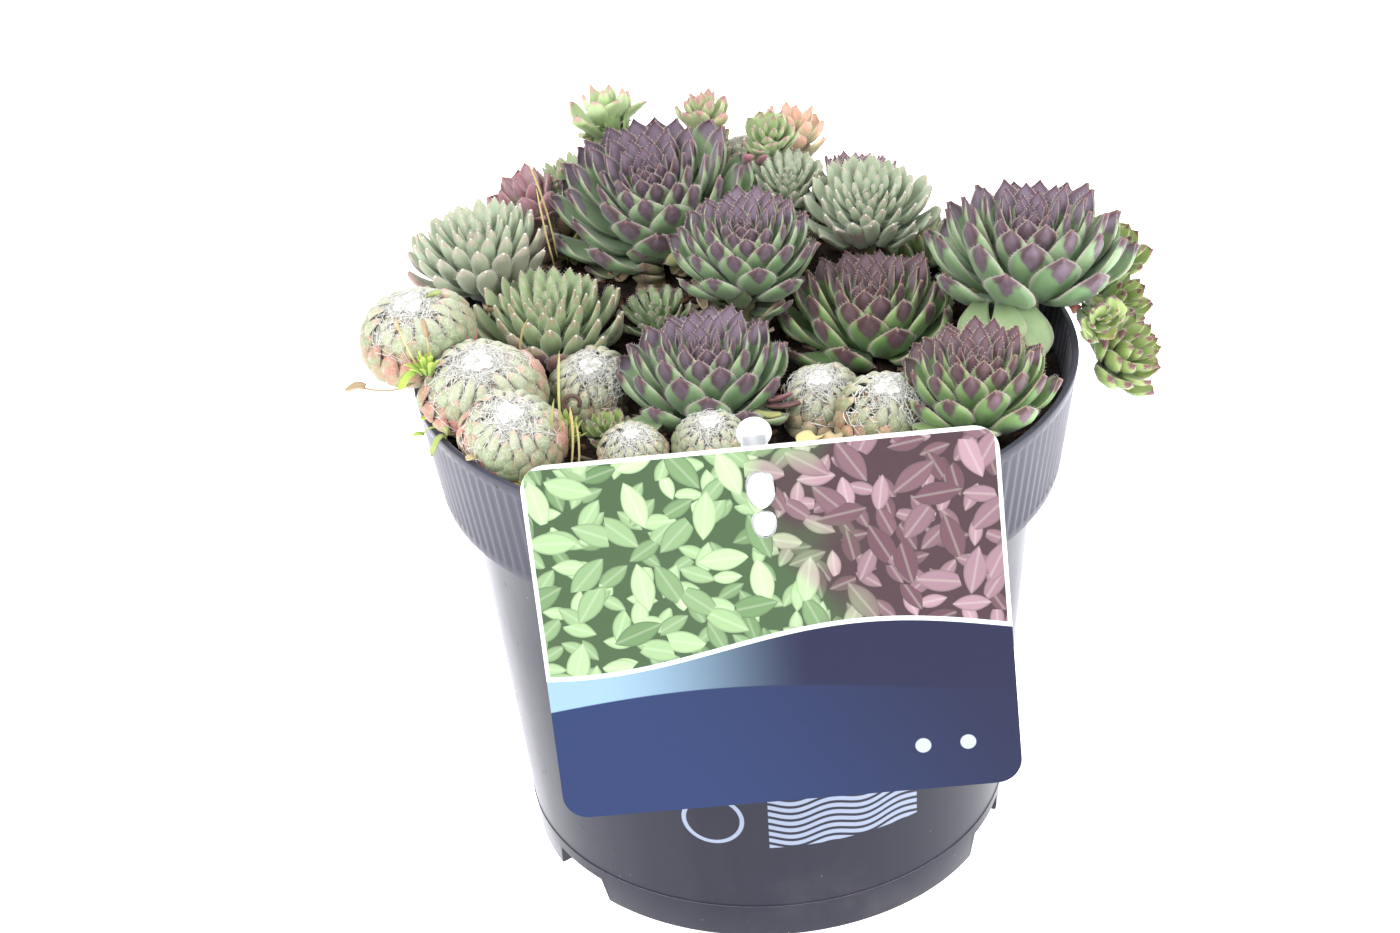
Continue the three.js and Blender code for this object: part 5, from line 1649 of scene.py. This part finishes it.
def label_material(settings):
    """A laminated card: a leafy pattern above, and a night-blue field with two waves and two dots below."""
    paint = Paint("label_print")
    across, up, out = label_plane(paint)

    def wave(middle, swell, length, phase):
        return up - ((across / length + phase).maths("SINE") * swell + middle)

    top_wave = wave(middle=-37, swell=3.2, length=16.0, phase=0.6)
    low_wave = wave(middle=-47, swell=2.6, length=21.0, phase=2.2)
    night = paint.mix((across + up * 0.6).ramp(20, -62), settings.field, settings.field_light)
    band = paint.mix(across.ramp(-34, 6), srgb(124, 152, 172), settings.field)
    colour = paint.mix(top_wave.ramp(0.15, -0.15), printed_leaves(paint, across, up), band)
    colour = paint.mix(low_wave.ramp(0.15, -0.15), colour, night)
    colour = paint.mix(abs(top_wave).ramp(0.5, 0.35), colour, srgb(208, 214, 216))
    dots = (((across - 24).maths("PINGPONG", 4.0)) ** 2 + (up + 59) ** 2) ** 0.5
    dots = dots.ramp(1.5, 1.3) * across.ramp(17.9, 18.1) * across.ramp(34.1, 33.9)
    colour = paint.mix(dots, colour, srgb(160, 168, 182))
    sides = (abs(across) - LABEL_WIDTH / 2).ramp(-0.8, -0.6)
    border = sides.most(up.ramp(-0.7, -0.5)) * top_wave.ramp(-0.2, 0.2)
    colour = paint.mix(border, colour, srgb(232, 236, 234))
    colour = paint.mix((out + LABEL_THICKNESS / 2).ramp(0.2, -0.2), colour, srgb(206, 210, 208))
    sheen = paint.noise(30, 2)
    return paint.finish(colour, 0.34 + sheen * 0.12, paint.bump(sheen, 0.0002, 0.15), Specular_IOR_Level=0.18)


def print_label(settings):
    """Gives the frame's own label its print."""
    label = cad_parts["label"]
    label.data.materials.clear()
    label.data.materials.append(label_material(settings))


KNOB_SIDES = 40


def egg_points(width, length, middle, height):
    """An upright oval that is narrower at its foot."""
    angle = np.arange(KNOB_SIDES) * 2 * math.pi / KNOB_SIDES
    narrow = 1 - 0.16 * np.clip(-np.sin(angle), 0, 1)
    x, y = np.cos(angle) * width / 2 * narrow, np.sin(angle) * length / 2 + middle
    return np.column_stack((x, y, np.full(KNOB_SIDES, height)))


def make_knob(name, width, length, middle, low, high, matrix):
    """A rounded oval knob: a circle drawn out to an egg, extruded, and rounded over its edges."""
    deselect()
    bpy.ops.mesh.primitive_circle_add(vertices=KNOB_SIDES, radius=1, fill_type="NGON")
    knob = start_piece(name)
    move_points(knob, egg_points(width, length, middle, low))
    start_edit()
    bpy.ops.mesh.extrude_region_move(TRANSFORM_OT_translate={"value": (0, 0, high - low)})
    end_edit()
    round_over = min(0.45 * width / 2, 0.4 * (high - low))
    apply_modifier(knob, "BEVEL", width=round_over, segments=5, limit_method="ANGLE", angle_limit=1.2)
    knob.data.transform(Matrix.Scale(MM, 4) @ matrix)
    return knob


def make_slab(name, size, place, matrix):
    """A moulded strip with softened edges."""
    deselect()
    bpy.ops.mesh.primitive_cube_add(size=1)
    slab = start_piece(name)
    slab.data.transform(Matrix.Translation(place) @ Matrix.Diagonal((*size, 1)))
    apply_modifier(slab, "BEVEL", width=0.3, segments=3)
    slab.data.transform(Matrix.Scale(MM, 4) @ matrix)
    return slab


def make_stake():
    """A strip with a round head behind the label, a bridge over the rim, and a tongue with two knobs."""
    up = STAKE_TOP - STAKE_FOOT
    lean = math.atan2(STAKE_FOOT.y - STAKE_TOP.y, up.z)
    upright = Matrix.Translation(STAKE_FOOT) @ Matrix.Rotation(math.pi / 2 + lean, 4, "X")
    on_label = label_matrix()
    length = up.length
    half = STAKE_THICKNESS / 2
    tongue_top = -(UPPER_HOLE[0] - UPPER_HOLE[2] / 2)
    tongue_foot = -(LOWER_HOLE[0] + LOWER_HOLE[2] / 2)
    behind = -(LABEL_THICKNESS + TONGUE_ROOM)
    tongue = (STAKE_WIDTH, tongue_top - tongue_foot, TONGUE_THICKNESS)
    tongue_place = Vector((0, (tongue_top + tongue_foot) / 2, behind - TONGUE_THICKNESS / 2))
    parts = [
        make_slab("strip", (STAKE_WIDTH, length, STAKE_THICKNESS), Vector((0, length / 2, 0)), upright),
        make_knob("head", *STAKE_HEAD, length - 0.6, -half, half, upright),
        make_slab("bridge", BRIDGE_SIZE, BRIDGE_PLACE, Matrix.Identity(4)),
        make_slab("tongue", tongue, tongue_place, on_label),
    ]
    for name, hole, top in (("upper", UPPER_HOLE, UPPER_KNOB_TOP), ("lower", LOWER_HOLE, LOWER_KNOB_TOP)):
        depth, width, height = hole
        sizes = (width - KNOB_ROOM, height - KNOB_ROOM, -depth)
        parts.append(make_knob(name, *sizes, behind - KNOB_ROOT, top, on_label))
    stake = join(parts, parts[0])
    start_piece("label_stake_moulding")
    smooth(stake, 50)
    finish_piece(stake, stake_material(), "stake_plastic", ["label_stake"])


# ---------------------------------------------------------------- stage

FLOOR_SIZE = 6
FLOOR_DROP = 0.0002             # keeps the floor clear of the pot's foot
FLOOR_GLOW = 1.4                # the light table that the pot stands on
CAMERA_PLACE = Vector((-10.22, -451.57, 344.15)) * MM
CAMERA_TARGET = Vector((-10.22, 0, 80.83)) * MM
CAMERA_ROLL = -3.816
CAMERA_LENS = 66.857
SENSOR_WIDTH = 36


def make_floor(colour):
    deselect()
    bpy.ops.mesh.primitive_plane_add(size=FLOOR_SIZE, location=(0, 0, -FLOOR_DROP))
    floor = start_piece("floor")
    apply_place(floor)
    paint = Paint("floor_paper")
    grain = paint.noise(300, 2)
    shade = paint.mix(grain * 0.3, colour, srgb(244, 244, 246))
    glow = {"Emission_Color": shade, "Emission_Strength": FLOOR_GLOW}
    floor.data.materials.append(paint.finish(shade, 0.75 + grain * 0.1, **glow))


# Each lamp's name, its place and target in metres, its size, and its share of the main lamp's power.
LAMPS = (
    ("key", (-0.5, -0.6, 0.9), (0, 0, 0.1), 0.5, 1),
    ("fill", (0.8, -0.35, 0.5), (0, 0, 0.08), 0.6, 0.6),
    ("back", (0.1, 0.9, 0.7), (0, 0, 0.1), 0.6, 0.5),
)


def make_lamp(name, place, target, size, power):
    lamp = bpy.data.lights.new(name, "AREA")
    lamp.energy, lamp.size = power, size
    holder = bpy.data.objects.new(name, lamp)
    holder.location = place
    holder.rotation_euler = (Vector(target) - Vector(place)).to_track_quat("-Z", "Y").to_euler()
    bpy.context.scene.collection.objects.link(holder)


def make_camera():
    camera = bpy.data.cameras.new("camera")
    camera.lens, camera.sensor_width = CAMERA_LENS, SENSOR_WIDTH
    holder = bpy.data.objects.new("camera", camera)
    look = (CAMERA_TARGET - CAMERA_PLACE).to_track_quat("-Z", "Y").to_matrix().to_4x4()
    roll = Matrix.Rotation(math.radians(CAMERA_ROLL), 4, "Z")
    holder.matrix_world = Matrix.Translation(CAMERA_PLACE) @ look @ roll
    bpy.context.scene.collection.objects.link(holder)
    bpy.context.scene.camera = holder


def make_stage(settings):
    make_floor(settings.floor)
    world = bpy.data.worlds.new("soft_room")
    world.use_nodes = True
    background = world.node_tree.nodes["Background"]
    background.inputs["Color"].default_value = (1, 1, 1, 1)
    background.inputs["Strength"].default_value = settings.room_light
    scene = bpy.context.scene
    scene.world = world
    scene.view_settings.view_transform = "Standard"
    for name, place, target, size, share in LAMPS:
        make_lamp(name, place, target, size, settings.lamp_power * share)
    make_camera()


# ---------------------------------------------------------------- settings, operators and panel


def colour_setting(name, description, default):
    kind = {"subtype": "COLOR", "size": 4, "min": 0, "max": 1}
    return bpy.props.FloatVectorProperty(name=name, description=description, default=default, **kind)


class PotSettings(bpy.types.PropertyGroup):
    """The pot's finish."""

    plastic: colour_setting("Plastic", "Colour of the moulded pot", srgb(24, 25, 36))
    flute_depth: bpy.props.FloatProperty(
        name="Flute depth", description="Depth of the fine upright flutes on the collar",
        default=FLUTE_DEPTH * MM, min=0, max=0.001, unit="LENGTH", subtype="DISTANCE",
    )


class LabelSettings(bpy.types.PropertyGroup):
    """The label's print."""

    field: colour_setting("Field", "Dark colour of the lower field", srgb(24, 27, 54))
    field_light: colour_setting("Light field", "Lighter colour that the field fades to", srgb(27, 43, 82))


class StageSettings(bpy.types.PropertyGroup):
    """The floor and the light."""

    floor: colour_setting("Floor", "Colour of the floor", srgb(250, 250, 251))
    room_light: bpy.props.FloatProperty(
        name="Room light", description="Strength of the light from all round", default=1.12, min=0,
    )
    lamp_power: bpy.props.FloatProperty(
        name="Lamp power", description="Power of the main soft lamp", default=9.5, min=0, unit="POWER",
    )


class HENS_OT_pot(bpy.types.Operator):
    """Models the nursery pot with its fluted collar, foot ring and drain holes"""

    bl_idname = "hens.pot"
    bl_label = "Pot"

    def execute(self, context):
        make_pot(context.scene.hens_pot)
        return {"FINISHED"}


class HENS_OT_soil(bpy.types.Operator):
    """Models the soil, its bark chips, the pebbles, and the weeds and loose leaves"""

    bl_idname = "hens.soil"
    bl_label = "Soil and litter"

    def execute(self, context):
        make_soil()
        make_chips()
        make_pebbles()
        make_weeds()
        return {"FINISHED"}


class HENS_OT_rosettes(bpy.types.Operator):
    """Models the hens, leaf by leaf"""

    bl_idname = "hens.rosettes"
    bl_label = "Hens"

    def execute(self, context):
        for plant in HEN_PLANTS:
            make_rosette(plant)
        return {"FINISHED"}


class HENS_OT_cobwebs(bpy.types.Operator):
    """Models the cobweb rosettes with their threads and wool"""

    bl_idname = "hens.cobwebs"
    bl_label = "Cobweb rosettes"

    def execute(self, context):
        MATERIALS["wool"] = wool_material()
        for seed, plant in enumerate(COBWEB_PLANTS):
            points = make_rosette(plant)
            make_cobweb(plant, points, seed)
            make_wool_pad(plant, seed)
        return {"FINISHED"}


class HENS_OT_chicks(bpy.types.Operator):
    """Models the chicks, with the branch of chicks over the rim"""

    bl_idname = "hens.chicks"
    bl_label = "Chicks"

    def execute(self, context):
        for plant in CHICK_PLANTS:
            make_rosette(plant)
        make_branch()
        return {"FINISHED"}


class HENS_OT_label(bpy.types.Operator):
    """Prints the label and models the stake that it hangs on"""

    bl_idname = "hens.label"
    bl_label = "Label and stake"

    def execute(self, context):
        print_label(context.scene.hens_label)
        make_stake()
        return {"FINISHED"}


class HENS_OT_stage(bpy.types.Operator):
    """Sets the floor, the light and the camera"""

    bl_idname = "hens.stage"
    bl_label = "Stage"

    def execute(self, context):
        make_stage(context.scene.hens_stage)
        return {"FINISHED"}


STEPS = ("stage", "pot", "soil", "rosettes", "cobwebs", "chicks", "label")
GROUPS = {"hens_pot": PotSettings, "hens_label": LabelSettings, "hens_stage": StageSettings}


class HENS_PT_panel(bpy.types.Panel):
    """Lists the pieces and their settings"""

    bl_idname = "HENS_PT_panel"
    bl_label = "Hens and Chicks"
    bl_space_type = "VIEW_3D"
    bl_region_type = "UI"
    bl_category = "Hens and Chicks"

    def draw(self, context):
        layout = self.layout
        for step in STEPS:
            layout.operator(f"hens.{step}")
        for group in GROUPS:
            settings = getattr(context.scene, group)
            for key in settings.__annotations__:
                layout.prop(settings, key)


CLASSES = (
    *GROUPS.values(), HENS_OT_pot, HENS_OT_soil, HENS_OT_rosettes, HENS_OT_cobwebs, HENS_OT_chicks,
    HENS_OT_label, HENS_OT_stage, HENS_PT_panel,
)


def register():
    for cls in CLASSES:
        bpy.utils.register_class(cls)
    for name, group in GROUPS.items():
        setattr(bpy.types.Scene, name, bpy.props.PointerProperty(type=group))


def unregister():
    for name in GROUPS:
        delattr(bpy.types.Scene, name)
    for cls in reversed(CLASSES):
        bpy.utils.unregister_class(cls)


def main():
    register()
    for step in STEPS:
        getattr(bpy.ops.hens, step)()
    bpy.context.view_layer.update()


if __name__ == "__main__":
    main()
